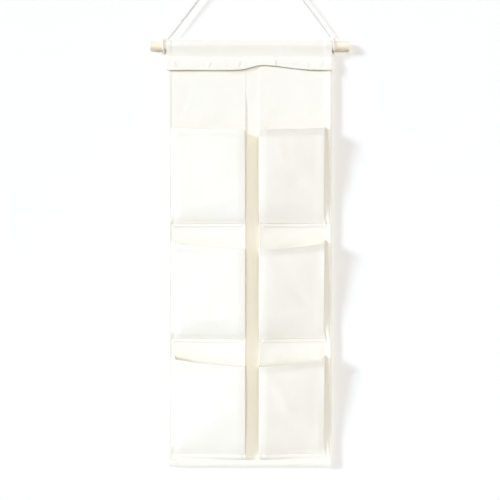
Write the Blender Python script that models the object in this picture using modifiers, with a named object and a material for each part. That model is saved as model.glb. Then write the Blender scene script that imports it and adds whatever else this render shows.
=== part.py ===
"""Hanging fabric wall organizer: six canvas pockets on a panel, hung from a dowel by a cord.

Metres, +Z up. The origin is the middle of the cord's bend over its peg. X runs along
the dowel, -Y faces the room and +Y faces the wall.
"""

import math

import bmesh
import bpy
from mathutils import Vector

# Clearance, cloth and the distance at which points of a turned piece merge
GAP = 0.0003
CLOTH = 0.0010
MERGE = 0.0001

# Peg, turned
PEG_NECK_RADIUS = 0.0055
PEG_NECK_LENGTH = 0.0108
PEG_HEAD_RADIUS = 0.0085
PEG_HEAD_LENGTH = 0.0070
PEG_FLANGE_RADIUS = 0.0110
PEG_FLANGE_LENGTH = 0.0034
PEG_EDGE = 0.0010
PEG_SIDES = 24

# Dowel
DOWEL_LENGTH = 0.380
DOWEL_RADIUS = 0.009
DOWEL_EDGE = 0.0010
DOWEL_DROP = 0.209
DOWEL_SIDES = 24

# Cord, its loops round the dowel and their knots
CORD_DIAMETER = 0.0035
CORD_STEP = 0.0085
KNOT_RADIUS = 0.0034
KNOT_STRETCH_SHARE = 1.18
KNOT_SIDES = 12
KNOT_RINGS = 8
HITCH_POINTS = 24
HITCH_OPENING = math.radians(33)
HITCH_REACHES = (0.0044, 0.0038)
HITCH_BOWS = (0.0060, 0.0010)
HITCH_LEANS = (0.0, 0.0035)

# Panel and hems
MIDDLE_X = -0.0022
PANEL_WIDTH = 0.310
PANEL_HEIGHT = 0.783
SEAM_DROP = 0.021
SIDE_HEM_WIDTH = 0.0045
BOTTOM_HEM_HEIGHT = 0.015
HEM_THICKNESS = 0.0016
SLEEVE_ARC_STEPS = 18
SLEEVE_LENGTHS = 5

# Header flap
FLAP_HEIGHT = 0.0265
FLAP_OVERHANG = 0.0010
FLAP_PROUD = 0.0045
FLAP_WAVE = 0.0014
FLAP_NOTCH = 0.0095
FLAP_NOTCH_X = 0.0234
FLAP_NOTCH_LEFT = 0.027
FLAP_NOTCH_RIGHT = 0.061
FLAP_WAVES = 3.5
FLAP_STEPS = 24
FLAP_ROWS = 3

# Gutter and columns
GUTTER_WIDTH = 0.0261
GUTTER_SHIFT = 0.0052
FOLD_DEPTH = 0.016
FOLD_SEAM_SHARE = 0.08
FOLD_MOUTH_SHARES = (0.22, 0.9, 0.9)
FOLD_FOOT_SHARES = (0.95, 1.0, 0.2)
FOLD_HEM_SHARE = 0.08
COLUMN_STEP = 0.031
COLUMN_ACROSS = 4

# Pockets, listed from the top row down
ROWS = ("top", "middle", "bottom")
COLUMNS = {"left": -1, "right": 1}
POCKET_MARGIN = 0.0142
POCKET_HEIGHT = 0.183
POCKET_PITCH = 0.219
FIRST_FOOT_DROP = 0.3251
FOOT_BAND_HEIGHT = 0.0065
FOOT_BAND_INSET = 0.007
MOUTH_SLANT = 0.011
MOUTH_SLANT_SHARES = (0.5, 1.0, 1.15)
MOUTH_DEPTH_OUTER = 0.027
MOUTH_DEPTH_INNER = 0.040
POCKET_BOW = 0.003
BELLY_SHARE = 0.62
BELLY_START_SHARE = 0.015
POCKET_ACROSS = 8
POCKET_UP = 10
FOOT_CROWD_SHARE = 1.5
GUSSET_PLEAT = 0.0025

# Colours
CREAM = (0.93, 0.91, 0.85)
COTTON = (0.80, 0.77, 0.69)
BEECH = (0.86, 0.68, 0.48)
PALE_BIRCH = (0.80, 0.66, 0.48)

# Worked out from the sizes above
CORD_RADIUS = CORD_DIAMETER / 2
SLEEVE_RADIUS = DOWEL_RADIUS + GAP + CLOTH
WALL_Y = SLEEVE_RADIUS + GAP
SEAM_Z = -DOWEL_DROP - SEAM_DROP
BOTTOM_Z = SEAM_Z - PANEL_HEIGHT
HEM_TOP_Z = BOTTOM_Z + BOTTOM_HEM_HEIGHT
HALF_PANEL = PANEL_WIDTH / 2
HEM_INNER = HALF_PANEL - SIDE_HEM_WIDTH
POCKET_OUTER = HALF_PANEL - POCKET_MARGIN
COLUMN_FRONT = GAP + CLOTH
FLAP_DEPTH = COLUMN_FRONT + FOLD_DEPTH * FOLD_SEAM_SHARE + GAP + CLOTH
FOOT_ZS = [SEAM_Z - FIRST_FOOT_DROP - row * POCKET_PITCH for row in range(len(ROWS))]

# The cord's route from the left knot over the peg to the right knot
CORD_ROUTE = [
    (-0.1583, 0.0, -0.1934),
    (-0.1500, 0.0, -0.1835),
    (-0.1270, 0.0, -0.1536),
    (-0.0960, 0.0, -0.1131),
    (-0.0650, 0.0, -0.0725),
    (-0.0380, 0.0, -0.0372),
    (-0.0180, 0.0, -0.0110),
    (-0.0100, 0.0, -0.0004),
    (-0.0062, 0.0, 0.0046),
    (-0.0034, 0.0, 0.0070),
    (0.0, 0.0, 0.0077),
    (0.0034, 0.0, 0.0070),
    (0.0062, 0.0, 0.0046),
    (0.0100, 0.0, -0.0004),
    (0.0180, 0.0, -0.0110),
    (0.0380, 0.0, -0.0372),
    (0.0650, 0.0, -0.0725),
    (0.0960, 0.0, -0.1131),
    (0.1265, 0.0, -0.1536),
    (0.1480, 0.0, -0.1830),
    (0.1548, 0.0, -0.1931),
]
KNOT_PLACES = {"left": (-0.1607, 0.0, -0.1962), "right": (0.1568, 0.0, -0.1962)}


def clear_scene():
    for item in list(bpy.data.objects):
        bpy.data.objects.remove(item, do_unlink=True)


def make_material(name, colour, roughness):
    material = bpy.data.materials.new(name)
    material.use_nodes = True
    shader = material.node_tree.nodes["Principled BSDF"]
    shader.inputs["Base Color"].default_value = (*colour, 1)
    shader.inputs["Roughness"].default_value = roughness
    shader.inputs["Metallic"].default_value = 0
    return material


def add_object(name, data, parts, parent, origin, material):
    """Puts data, drawn about origin, into the parts collection under parent."""
    piece = bpy.data.objects.new(name, data)
    data.materials.append(material)
    parts.objects.link(piece)
    piece.parent = parent
    piece.location = Vector(origin) - (parent.location if parent else Vector())
    return piece


def add_empty(name, place, parts):
    pivot = bpy.data.objects.new(name, None)
    parts.objects.link(pivot)
    pivot.location = place
    return pivot


def solidify(piece, thickness, side):
    """Gives an open surface its thickness, on side -1 behind its faces or 1 in front."""
    modifier = piece.modifiers.new("Cloth", "SOLIDIFY")
    modifier.thickness = thickness
    modifier.offset = side
    modifier.use_even_offset = True


def add_sheet(name, across, up, place, thickness, side, home):
    """A grid of across by up places, laid by place(share, height), as a sheet of cloth."""
    parts, parent, origin, material = home
    mesh = bpy.data.meshes.new(name)
    grid = bmesh.new()
    bmesh.ops.create_grid(
        grid, x_segments=len(across) - 1, y_segments=len(up) - 1, size=0.5
    )
    for vertex in grid.verts:
        column = round((vertex.co.x + 0.5) * (len(across) - 1))
        row = round((vertex.co.y + 0.5) * (len(up) - 1))
        vertex.co = Vector(place(across[column], up[row])) - Vector(origin)
    grid.to_mesh(mesh)
    grid.free()
    mesh.shade_smooth()
    piece = add_object(name, mesh, parts, parent, origin, material)
    solidify(piece, thickness, side)
    return piece


def add_tube(name, places, radius, resolution, home):
    parts, parent, origin, material = home
    curve = bpy.data.curves.new(name, "CURVE")
    curve.dimensions = "3D"
    curve.bevel_depth = radius
    curve.bevel_resolution = resolution
    curve.use_fill_caps = True
    spline = curve.splines.new("POLY")
    spline.points.add(len(places) - 1)
    for point, place in zip(spline.points, places):
        point.co = (*(Vector(place) - Vector(origin)), 1)
    spline.use_smooth = True
    return add_object(name, curve, parts, parent, origin, material)


def shares(count):
    """Even shares from 0 to 1 in count steps."""
    return [step / count for step in range(count + 1)]


def mix(start, end, share):
    return start + (end - start) * share


def ease(share):
    return share * share * (3 - 2 * share)


def steps_between(marks, step):
    """Every mark, and even places between them no further apart than step."""
    places = []
    for low, high in zip(marks, marks[1:]):
        count = math.ceil((high - low) / step)
        places += [mix(low, high, share) for share in shares(count)[:-1]]
    return places + [marks[-1]]


def smooth_route(route, step):
    """Places along a smooth curve through the route's points."""
    ends = [route[0], *route, route[-1]]
    places = []
    for before, start, end, after in zip(ends, ends[1:], ends[2:], ends[3:]):
        count = max(1, round(math.dist(start, end) / step))
        for share in shares(count)[:-1]:
            places.append(
                [
                    0.5
                    * (
                        2 * b
                        + (c - a) * share
                        + (2 * a - 5 * b + 4 * c - d) * share**2
                        + (3 * b - a - 3 * c + d) * share**3
                    )
                    for a, b, c, d in zip(before, start, end, after)
                ]
            )
    return places + [route[-1]]


def least_gap(places, diameter):
    """The least clear distance between stretches of one tube that aren't neighbours."""
    apart = math.ceil(math.pi * diameter / math.dist(places[0], places[1]))
    return min(
        math.dist(places[one], places[other]) - diameter
        for one in range(len(places))
        for other in range(one + apart, len(places))
    )


def column_x(side, share):
    """Across a column, from its side hem at share 0 to its fold at share 1."""
    outer = side * (HEM_INNER - GAP)
    return MIDDLE_X + mix(outer, fold_x(side), share)


def fold_x(side):
    """The fold beside the gutter, from the panel's middle."""
    return GUTTER_SHIFT + side * GUTTER_WIDTH / 2


def pocket_share(side, share):
    """Across a pocket, from its outer edge at 0 to the fold at 1, as a share of its column."""
    outer = (HEM_INNER - GAP - POCKET_OUTER) / (HEM_INNER - GAP - side * fold_x(side))
    return mix(outer, 1, share)


def fold_depth(height):
    """How far a column's fold stands out at a height, eased between its seams."""
    marks = [(SEAM_Z, FOLD_SEAM_SHARE)]
    for foot, mouth_share, foot_share in zip(FOOT_ZS, FOLD_MOUTH_SHARES, FOLD_FOOT_SHARES):
        marks += [(foot + POCKET_HEIGHT, mouth_share), (foot, foot_share)]
    marks.append((HEM_TOP_Z, FOLD_HEM_SHARE))
    for (top, top_share), (low, low_share) in zip(marks, marks[1:]):
        if height >= low:
            along = min(1, (top - height) / (top - low))
            return FOLD_DEPTH * mix(top_share, low_share, ease(along))
    return FOLD_DEPTH * FOLD_HEM_SHARE


def column_depth(share, height):
    """How far a column's front face stands out from the back panel."""
    return COLUMN_FRONT + fold_depth(height) * share


def belly(share):
    """How a pocket opens from its foot up, quickest just above the foot."""
    start = BELLY_START_SHARE**BELLY_SHARE
    end = (1 + BELLY_START_SHARE) ** BELLY_SHARE
    return ((share + BELLY_START_SHARE) ** BELLY_SHARE - start) / (end - start)


def pocket_ups():
    """Shares up a pocket, closer together at its foot, where it curves most."""
    return [share**FOOT_CROWD_SHARE for share in shares(POCKET_UP)]


def pocket_foot(row):
    return FOOT_ZS[row] + FOOT_BAND_HEIGHT + GAP


def pocket_z(row, share, up):
    """The height of a pocket's front, from its foot at up 0 to its slanted mouth at 1."""
    slant = MOUTH_SLANT * MOUTH_SLANT_SHARES[row]
    mouth = FOOT_ZS[row] + POCKET_HEIGHT + slant * (0.5 - share)
    return mix(pocket_foot(row), mouth, up)


def pocket_depth(side, row, share, up):
    """How far the front face of a pocket stands out from the back panel."""
    column = pocket_share(side, share)
    seated = column_depth(column, pocket_z(row, share, up)) + GAP + CLOTH
    mouth = column_depth(column, pocket_z(row, share, 1)) + GAP + CLOTH
    lift = mix(MOUTH_DEPTH_OUTER, MOUTH_DEPTH_INNER, share) - mouth
    bow = POCKET_BOW * math.sin(math.pi * share) * math.sin(math.pi * up)
    return seated + lift * belly(up) + bow


def hinge_place(side, row, share):
    """A point of the foot line on which a pocket's front turns."""
    height = pocket_foot(row)
    depth = column_depth(pocket_share(side, share), height) + GAP + CLOTH / 2
    return Vector((column_x(side, pocket_share(side, share)), -depth, height))


def across_from_left(side, values):
    """Shares that run from a column's outer side in, put in order of rising X."""
    return values if side < 0 else list(reversed(values))


def add_peg(parts, material):
    """Turned peg, its flange on the wall and its head towards the room."""
    head = WALL_Y - PEG_FLANGE_LENGTH - PEG_NECK_LENGTH - PEG_HEAD_LENGTH
    neck = head + PEG_HEAD_LENGTH
    flange = neck + PEG_NECK_LENGTH
    profile = [
        (0, -head),
        (PEG_HEAD_RADIUS - PEG_HEAD_LENGTH / 2, -head),
        (PEG_HEAD_RADIUS, -head - PEG_HEAD_LENGTH / 2),
        (PEG_HEAD_RADIUS - PEG_EDGE, -neck),
        (PEG_NECK_RADIUS, -neck),
        (PEG_NECK_RADIUS, -flange),
        (PEG_FLANGE_RADIUS - PEG_EDGE, -flange),
        (PEG_FLANGE_RADIUS, -flange - PEG_EDGE),
        (PEG_FLANGE_RADIUS, -WALL_Y),
        (0, -WALL_Y),
    ]
    mesh = bpy.data.meshes.new("hanging_peg")
    line = [(index, index + 1) for index in range(len(profile) - 1)]
    mesh.from_pydata([(radius, 0, height) for radius, height in profile], line, [])
    piece = add_object("hanging_peg", mesh, parts, None, Vector(), material)
    piece.rotation_euler = (math.pi / 2, 0, 0)
    turn = piece.modifiers.new("Turn", "SCREW")
    turn.steps = PEG_SIDES
    turn.render_steps = PEG_SIDES
    turn.use_merge_vertices = True
    turn.merge_threshold = MERGE
    turn.use_smooth_shade = True


def add_cord(parts, material):
    places = smooth_route(CORD_ROUTE, CORD_STEP)
    add_tube("hanging_cord", places, CORD_RADIUS, 2, (parts, None, Vector(), material))
    length = sum(math.dist(a, b) for a, b in zip(places, places[1:]))
    print(f"hanging cord: {length:.4f} m, {len(places)} points")


def add_hitch(name, side, reach, bow, lean, parts, material):
    """The cord's loop round one end of the dowel, open on top where its knot sits."""
    middle = (DOWEL_RADIUS + GAP + CORD_RADIUS) / math.cos(math.pi / DOWEL_SIDES) + GAP
    sleeve_end = MIDDLE_X + side * HALF_PANEL
    places = []
    for share in shares(HITCH_POINTS):
        turn = mix(HITCH_OPENING / 2, 2 * math.pi - HITCH_OPENING / 2, share)
        outward = reach + bow * ((1 + math.sin(turn)) / 2) ** 2 + lean * (1 - math.cos(turn)) / 2
        places.append(
            (
                sleeve_end + side * outward,
                -middle * math.sin(turn),
                middle * math.cos(turn) - DOWEL_DROP,
            )
        )
    add_tube(name, places, CORD_RADIUS, 1, (parts, None, Vector(), material))
    print(f"{name}: least gap to itself {least_gap(places, CORD_DIAMETER) * 1000:.2f} mm")


def add_knot(name, place, parts, material):
    """A small tight knot on top of the dowel, drawn out along the cord that leaves it."""
    mesh = bpy.data.meshes.new(name)
    ball = bmesh.new()
    bmesh.ops.create_uvsphere(
        ball, u_segments=KNOT_SIDES, v_segments=KNOT_RINGS, radius=KNOT_RADIUS
    )
    for vertex in ball.verts:
        vertex.co.x *= KNOT_STRETCH_SHARE
    ball.to_mesh(mesh)
    ball.free()
    mesh.shade_smooth()
    add_object(name, mesh, parts, None, place, material)


def add_dowel(parts, material):
    axis = (MIDDLE_X, 0, -DOWEL_DROP)
    mesh = bpy.data.meshes.new("dowel")
    rod = bmesh.new()
    bmesh.ops.create_cone(
        rod,
        cap_ends=True,
        segments=DOWEL_SIDES,
        radius1=DOWEL_RADIUS,
        radius2=DOWEL_RADIUS,
        depth=DOWEL_LENGTH,
    )
    rod.to_mesh(mesh)
    rod.free()
    mesh.shade_smooth()
    mesh.set_sharp_from_angle(angle=math.radians(30))
    piece = add_object("dowel", mesh, parts, None, axis, material)
    piece.rotation_euler = (0, math.pi / 2, 0)
    edge = piece.modifiers.new("Edge", "BEVEL")
    edge.width = DOWEL_EDGE
    edge.segments = 2
    edge.limit_method = "ANGLE"
    edge.angle_limit = math.radians(60)


def sleeve_path():
    """Outer face of the header sleeve, as (y, z), from its front seam over to its back one."""

    def touch(y, turn):
        angle = math.atan2(-SEAM_DROP, y)
        return angle + turn * math.acos(SLEEVE_RADIUS / math.hypot(y, SEAM_DROP))

    front = touch(-FLAP_DEPTH, -1) + 2 * math.pi
    back = touch(CLOTH, 1)
    arc = [mix(front, back, share) for share in shares(SLEEVE_ARC_STEPS)]
    path = [
        (SLEEVE_RADIUS * math.cos(angle), SLEEVE_RADIUS * math.sin(angle) - DOWEL_DROP)
        for angle in arc
    ]
    return [(-FLAP_DEPTH, SEAM_Z), *path, (CLOTH, SEAM_Z)]


def add_header(home):
    path = sleeve_path()

    def place(share, index):
        return (mix(MIDDLE_X - HALF_PANEL, MIDDLE_X + HALF_PANEL, share), *path[index])

    along = shares(SLEEVE_LENGTHS)
    add_sheet("header_sleeve", along, list(range(len(path))), place, CLOTH, -1, home)


def add_flap(parts, pivot, material):
    """The loose lower edge of the header, which hangs off its seam in shallow waves."""
    top = SEAM_Z - GAP
    half = HALF_PANEL + FLAP_OVERHANG

    def place(share, down):
        x = mix(-half, half, share)
        reach = FLAP_NOTCH_LEFT if x < FLAP_NOTCH_X else FLAP_NOTCH_RIGHT
        notch = FLAP_NOTCH * math.exp(-(((x - FLAP_NOTCH_X) / reach) ** 2))
        wave = FLAP_WAVE * math.sin(2 * math.pi * FLAP_WAVES * share)
        depth = FLAP_DEPTH + (FLAP_PROUD + wave) * down
        return (MIDDLE_X + x, -depth, top - (FLAP_HEIGHT - GAP - notch) * down)

    home = (parts, pivot, (MIDDLE_X, -FLAP_DEPTH, SEAM_Z), material)
    along, down = shares(FLAP_STEPS), list(reversed(shares(FLAP_ROWS)))
    add_sheet("header_flap", along, down, place, CLOTH, -1, home)


def add_strip(name, low, high, depth, thickness, home):
    """A flat strip between two (x, z) corners, its front face at a depth."""

    def place(share, height):
        return (mix(low[0], high[0], share), -depth, height)

    add_sheet(name, shares(1), [low[1], high[1]], place, thickness, -1, home)


def add_panel(home):
    """Back panel with its side hems and bottom hem."""
    top = SEAM_Z - GAP
    left, right = MIDDLE_X - HALF_PANEL, MIDDLE_X + HALF_PANEL
    add_strip("back_panel", (left, BOTTOM_Z), (right, top), 0, CLOTH, home)
    front = GAP + HEM_THICKNESS
    add_strip("bottom_hem", (left, BOTTOM_Z), (right, HEM_TOP_Z), front, HEM_THICKNESS, home)
    for name, low, high in (
        ("side_hem_left", left, left + SIDE_HEM_WIDTH),
        ("side_hem_right", right - SIDE_HEM_WIDTH, right),
    ):
        add_strip(name, (low, HEM_TOP_Z + GAP), (high, top), front, HEM_THICKNESS, home)


def add_column(name, side, home):
    """A column's front cloth and the gusset that joins its fold to the back panel."""
    marks = [HEM_TOP_Z + GAP]
    for foot in reversed(FOOT_ZS):
        marks += [foot, foot + FOOT_BAND_HEIGHT, foot + POCKET_HEIGHT]
    marks.append(SEAM_Z - GAP)
    heights = steps_between(marks, COLUMN_STEP)

    def place(share, height):
        return (column_x(side, share), -column_depth(share, height), height)

    across = across_from_left(side, shares(COLUMN_ACROSS))
    add_sheet(f"column_panel_{name}", across, heights, place, CLOTH, -1, home)

    def gusset_place(share, height):
        depth = mix(fold_depth(height), GAP, share)
        return (column_x(side, 1), -depth, height)

    add_sheet(f"column_gusset_{name}", shares(1), heights, gusset_place, CLOTH, side, home)


def add_pocket_front(name, side, row, home):
    def place(share, up):
        column = pocket_share(side, share)
        depth = pocket_depth(side, row, share, up)
        return (column_x(side, column), -depth, pocket_z(row, share, up))

    across = across_from_left(side, shares(POCKET_ACROSS))
    add_sheet(f"pocket_front_{name}", across, pocket_ups(), place, CLOTH, -1, home)


def add_gussets(name, side, row, home):
    """The pleated outer gusset and the flat inner gusset of one pocket."""
    ups = pocket_ups()[1:]

    def depths(share, column, up, across, clear):
        front = pocket_depth(side, row, share, up) - CLOTH - 2 * GAP
        back = column_depth(column, pocket_z(row, share, up)) + clear
        return mix(front, back, across)

    def outer_place(across, up):
        x = mix(column_x(side, pocket_share(side, 0)), column_x(side, 0), across)
        pleat = GUSSET_PLEAT * math.sin(math.pi * across) * up
        height = pocket_z(row, 0, up)
        return (x - side * pleat, -depths(0, 0, up, across, GAP + CLOTH), height)

    def inner_place(across, up):
        height = pocket_z(row, 1, up)
        return (column_x(side, 1), -depths(1, 1, up, across, GAP), height)

    add_sheet(f"outer_gusset_{name}", shares(2), ups, outer_place, CLOTH, -side, home)
    add_sheet(f"inner_gusset_{name}", shares(1), ups, inner_place, CLOTH, side, home)


def add_foot_band(name, side, row, home):
    """The stitched band under a pocket, sewn flat to its column."""
    outer = column_x(side, pocket_share(side, 0))
    inner = column_x(side, 1) + side * FOOT_BAND_INSET

    def place(share, height):
        x = mix(outer, inner, share)
        column = (x - column_x(side, 0)) / (column_x(side, 1) - column_x(side, 0))
        depth = column_depth(column, height) + GAP + HEM_THICKNESS
        return (x, -depth, height)

    heights = [FOOT_ZS[row], FOOT_ZS[row] + FOOT_BAND_HEIGHT]
    across = across_from_left(side, shares(2))
    add_sheet(f"foot_band_{name}", across, heights, place, HEM_THICKNESS, -1, home)


def add_pocket(row, column, parts, pivot, material):
    """One pocket: its front and gussets turn at the foot line, its band stays put."""
    side = COLUMNS[column]
    name = f"{ROWS[row]}_{column}"
    hinge = hinge_place(side, row, 0.5)
    home = (parts, pivot, hinge, material)
    add_pocket_front(name, side, row, home)
    add_gussets(name, side, row, home)
    add_foot_band(name, side, row, home)
    along = (hinge_place(side, row, 1) - hinge_place(side, row, 0)).normalized() * -side
    print(f"{name}: foot line at {tuple(hinge)}, along {tuple(along)}")


def main():
    clear_scene()
    parts = bpy.data.collections.new("hanging_wall_organizer")
    bpy.context.scene.collection.children.link(parts)
    canvas = make_material("canvas", CREAM, 0.92)
    cotton = make_material("cotton_cord", COTTON, 0.90)
    beech = make_material("dowel_wood", BEECH, 0.55)
    birch = make_material("peg_wood", PALE_BIRCH, 0.50)

    add_peg(parts, birch)
    add_cord(parts, cotton)
    hitches = zip(COLUMNS.items(), HITCH_REACHES, HITCH_BOWS, HITCH_LEANS)
    for (name, side), reach, bow, lean in hitches:
        add_hitch(f"hitch_{name}", side, reach, bow, lean, parts, cotton)
        add_knot(f"knot_{name}", KNOT_PLACES[name], parts, cotton)
    add_dowel(parts, beech)

    pivot = add_empty("panel_pivot", (MIDDLE_X, 0, -DOWEL_DROP), parts)
    home = (parts, pivot, pivot.location.copy(), canvas)
    add_header(home)
    add_flap(parts, pivot, canvas)
    add_panel(home)
    for name, side in COLUMNS.items():
        add_column(name, side, home)
        for row in range(len(ROWS)):
            add_pocket(row, name, parts, pivot, canvas)


main()
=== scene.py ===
"""Looks of a hanging wall organizer: canvas panel and pockets, cotton cord, wooden dowel.

Metres, +Z up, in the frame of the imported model. X runs along the dowel, -Y faces the
room and +Y faces the wall. A place on cloth is given by two shares, one across and one up.
"""

import math

import bmesh
import bpy
import numpy as np
from bpy.props import FloatProperty, FloatVectorProperty, IntProperty, PointerProperty
from mathutils import Matrix, Vector, noise


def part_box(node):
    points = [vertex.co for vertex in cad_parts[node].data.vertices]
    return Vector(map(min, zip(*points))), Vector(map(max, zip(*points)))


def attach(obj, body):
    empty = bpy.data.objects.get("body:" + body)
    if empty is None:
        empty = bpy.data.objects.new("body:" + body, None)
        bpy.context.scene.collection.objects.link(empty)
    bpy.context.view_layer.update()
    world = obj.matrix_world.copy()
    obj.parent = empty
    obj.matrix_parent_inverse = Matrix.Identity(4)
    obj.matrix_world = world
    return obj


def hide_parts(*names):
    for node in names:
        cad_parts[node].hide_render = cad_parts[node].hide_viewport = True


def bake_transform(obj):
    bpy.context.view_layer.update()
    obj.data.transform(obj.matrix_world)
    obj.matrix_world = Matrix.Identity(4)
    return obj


bl_info = {
    "name": "Hanging Wall Organizer",
    "version": (1, 0, 0),
    "blender": (4, 5, 0),
    "location": "3D View > Sidebar > Organizer",
    "description": "Canvas, stitches, cord, wood and stage of a hanging wall organizer",
    "category": "Object",
}

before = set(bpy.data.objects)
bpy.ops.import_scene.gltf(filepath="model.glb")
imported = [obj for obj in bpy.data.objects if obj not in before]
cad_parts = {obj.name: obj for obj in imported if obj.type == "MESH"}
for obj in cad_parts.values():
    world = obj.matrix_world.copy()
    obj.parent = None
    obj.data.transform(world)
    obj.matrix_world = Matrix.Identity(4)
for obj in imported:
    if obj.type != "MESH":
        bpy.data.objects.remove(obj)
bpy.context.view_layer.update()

# Clearance, the narrow loop of faces along every cloth edge, and how far the edge's round
# stands out as a share of the thickness
GAP = 0.0003
EDGE_LOOP = 0.0012
EDGE_SWELL = 0.35

# Places read from the frame
ROWS = ("top", "middle", "bottom")
COLUMNS = {"left": -1, "right": 1}
PANEL_LOW, PANEL_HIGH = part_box("back_panel")
MIDDLE_X = (PANEL_LOW.x + PANEL_HIGH.x) / 2
HALF_PANEL = (PANEL_HIGH.x - PANEL_LOW.x) / 2
SEAM_Z = PANEL_HIGH.z + GAP
BOTTOM_Z = PANEL_LOW.z
HEM_TOP_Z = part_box("bottom_hem")[1].z
HEM_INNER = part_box("side_hem_right")[0].x - MIDDLE_X
WALL_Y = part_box("hanging_peg")[1].y
DOWEL_LOW, DOWEL_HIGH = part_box("dowel")
DOWEL_Z = (DOWEL_LOW.z + DOWEL_HIGH.z) / 2
DOWEL_RADIUS = (DOWEL_HIGH.z - DOWEL_LOW.z) / 2
FOOT_ZS = [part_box(f"foot_band_{row}_right")[0].z for row in ROWS]
FOOT_BAND_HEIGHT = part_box("foot_band_top_right")[1].z - FOOT_ZS[0]
POCKET_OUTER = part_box("pocket_front_top_right")[1].x - MIDDLE_X

# The cord's route from the left knot over the peg to the right knot, its length, the sides of
# its mesh, and its radius in the grooves as a share of its whole radius
CORD_ROUTE = [
    (x, 0.0, z)
    for x, z in (
        (-0.1583, -0.1934), (-0.1500, -0.1835), (-0.1270, -0.1536), (-0.0960, -0.1131),
        (-0.0650, -0.0725), (-0.0380, -0.0372), (-0.0180, -0.0110), (-0.0100, -0.0004),
        (-0.0062, 0.0046), (-0.0034, 0.0070), (0.0, 0.0077), (0.0034, 0.0070),
        (0.0062, 0.0046), (0.0100, -0.0004), (0.0180, -0.0110), (0.0380, -0.0372),
        (0.0650, -0.0725), (0.0960, -0.1131), (0.1265, -0.1536), (0.1480, -0.1830),
        (0.1548, -0.1931),
    )
]
CORD_SIDES = 18
GROOVE_RADIUS = 0.74

# Knots and loops. A knot's cord has its own diameter, lay, strands and sides
KNOT_PLACES = {"left": (-0.1607, 0.0, -0.1962), "right": (0.1568, 0.0, -0.1962)}
HITCH_OPENING = math.radians(33)
HITCH_REACHES = {"left": 0.0050, "right": 0.0034}
HITCH_BOWS = {"left": 0.0048, "right": 0.0}
HITCH_BOW_POWER = 0.8
HITCH_LEANS = {"left": 0.0, "right": 0.0020}
HITCH_STEPS = 110
KNOT_RADIUS = 0.0024
KNOT_STRETCH = (1.25, 1.1, 1.0)
KNOT_STEPS = 72
KNOT_CORD = (0.0030, 0.009, 3, 12)
KNOT_TAILS = {
    "right": (
        (0.1572, -0.0010, -0.1936),
        (0.1584, -0.0018, -0.1918),
        (0.1600, -0.0026, -0.1924),
        (0.1611, -0.0034, -0.1948),
    ),
}

# Gutter, columns and pockets. -1 is the left column, 1 the right one, and rows go down
GUTTER_WIDTH = 0.0261
GUTTER_SHIFT = 0.0052
FOLD_DEPTH = 0.016
FOLD_SEAM_SHARES = {-1: 0.005, 1: 0.08}
FOLD_OPEN_Z = -0.282
FOLD_PRESSED_SHARE = 0.80
FOLD_PRESSES = {-1: 0.9, 1: 0.0}
FOLD_PRESS_Z = -0.330
FOLD_PRESS_REACH = 0.040
GUTTER_RISE = 0.0006
GUTTER_MARGIN = 0.0002
GUTTER_LAP = 0.0014
FOLD_MOUTH_SHARES = {-1: (0.07, 0.9, 0.9), 1: (0.22, 0.9, 0.9)}
FOLD_FOOT_SHARES = (0.95, 1.0, 0.6)
FOLD_HEM_SHARE = 0.2
COLUMN_BEND = 1.9
BAND_BULGES = {-1: 0.0010, 1: 0.0035}
BAND_BULGE_Z = 0.030
BAND_BULGE_REACH = 0.030
BAND_BULGE_ENDS = (0.15, 0.3)
EDGE_CURL = 0.0017
EDGE_CURL_REACH = 0.016
EDGE_CURL_DROP = 0.03
POCKET_HEIGHT = 0.183
MOUTH_SLANT = 0.011
MOUTH_SLANT_SHARES = (0.5, 1.0, 1.15)
MOUTH_SAGS = (0.0006, 0.0026, 0.0024)
MOUTH_DEPTH_OUTER = 0.0278
MOUTH_DEPTH_INNER = 0.040
MOUTH_LEANS = {-1: 0.0004, 1: 0.0040}
MOUTH_LEAN_REACH = 0.0125
MOUTH_LEAN_POWER = 1.2
MOUTH_STEP_SHARE = 0.6
MOUTH_STEP_REACH = 2.5
MOUTH_THICKENING = 1.3
POCKET_BOW = 0.003
POCKET_FULLNESS = (0.0, 0.003, 0.007)
BELLY_POWER = 0.75
BELLY_START = 0.03
BELLY_ROUND = 0.04
GUSSET_PLEAT = 0.0025
GUSSET_SEAM = 0.8
BEND_DEPTH = 0.0035
BEND_REACH = 0.021
FOOT_BAND_INSET = 0.007
FOOT_FLARE = 0.0045
FOOT_FLARE_REACH = 0.026
FOOT_ROLLS = {-1: (0.0060, 0.0072, 0.0110), 1: (0.0024, 0.0034, 0.0085)}
FOOT_ROLL_STARTS = (0.014, 0.016, 0.030)
FOOT_ROLL_EASE = 0.007
FOOT_ROLL_REACH = 0.080
FOOT_ROLL_OUTER = 0.25
FOOT_ROLL_GAIN = 8.0
EDGE_ROUND = 0.0020
EDGE_ROUND_REACH = 0.016
EDGE_ROUND_OUTER = 0.35
EDGE_LIP = 0.0012
EDGE_LIP_REACH = 0.020
EDGE_LIP_RISE = 0.15
FOLD_ROLL = 0.0011
FOLD_ROLL_REACH = 0.0022
FOLD_ROLL_RISE = 0.08
FOLD_OVERHANGS = {-1: 0.0002, 1: 0.0017}
EAR_HEIGHTS = (0.0020, 0.0050, 0.0055)
EAR_RISE = 0.1

# Unevenness of a pocket's front: the height and size of its broad and fine waves, how they
# slant and stretch, how they fade towards the edges, and what sets each row and size apart
BROAD_WAVES = (2.2, 0.050)
FINE_WAVES = (0.7, 0.022)
WAVE_SLANT = 0.6
WAVE_STRETCH = 0.45
WAVE_FADE = 0.6
WAVE_SEEDS = (3.1, 7.0)

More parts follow.
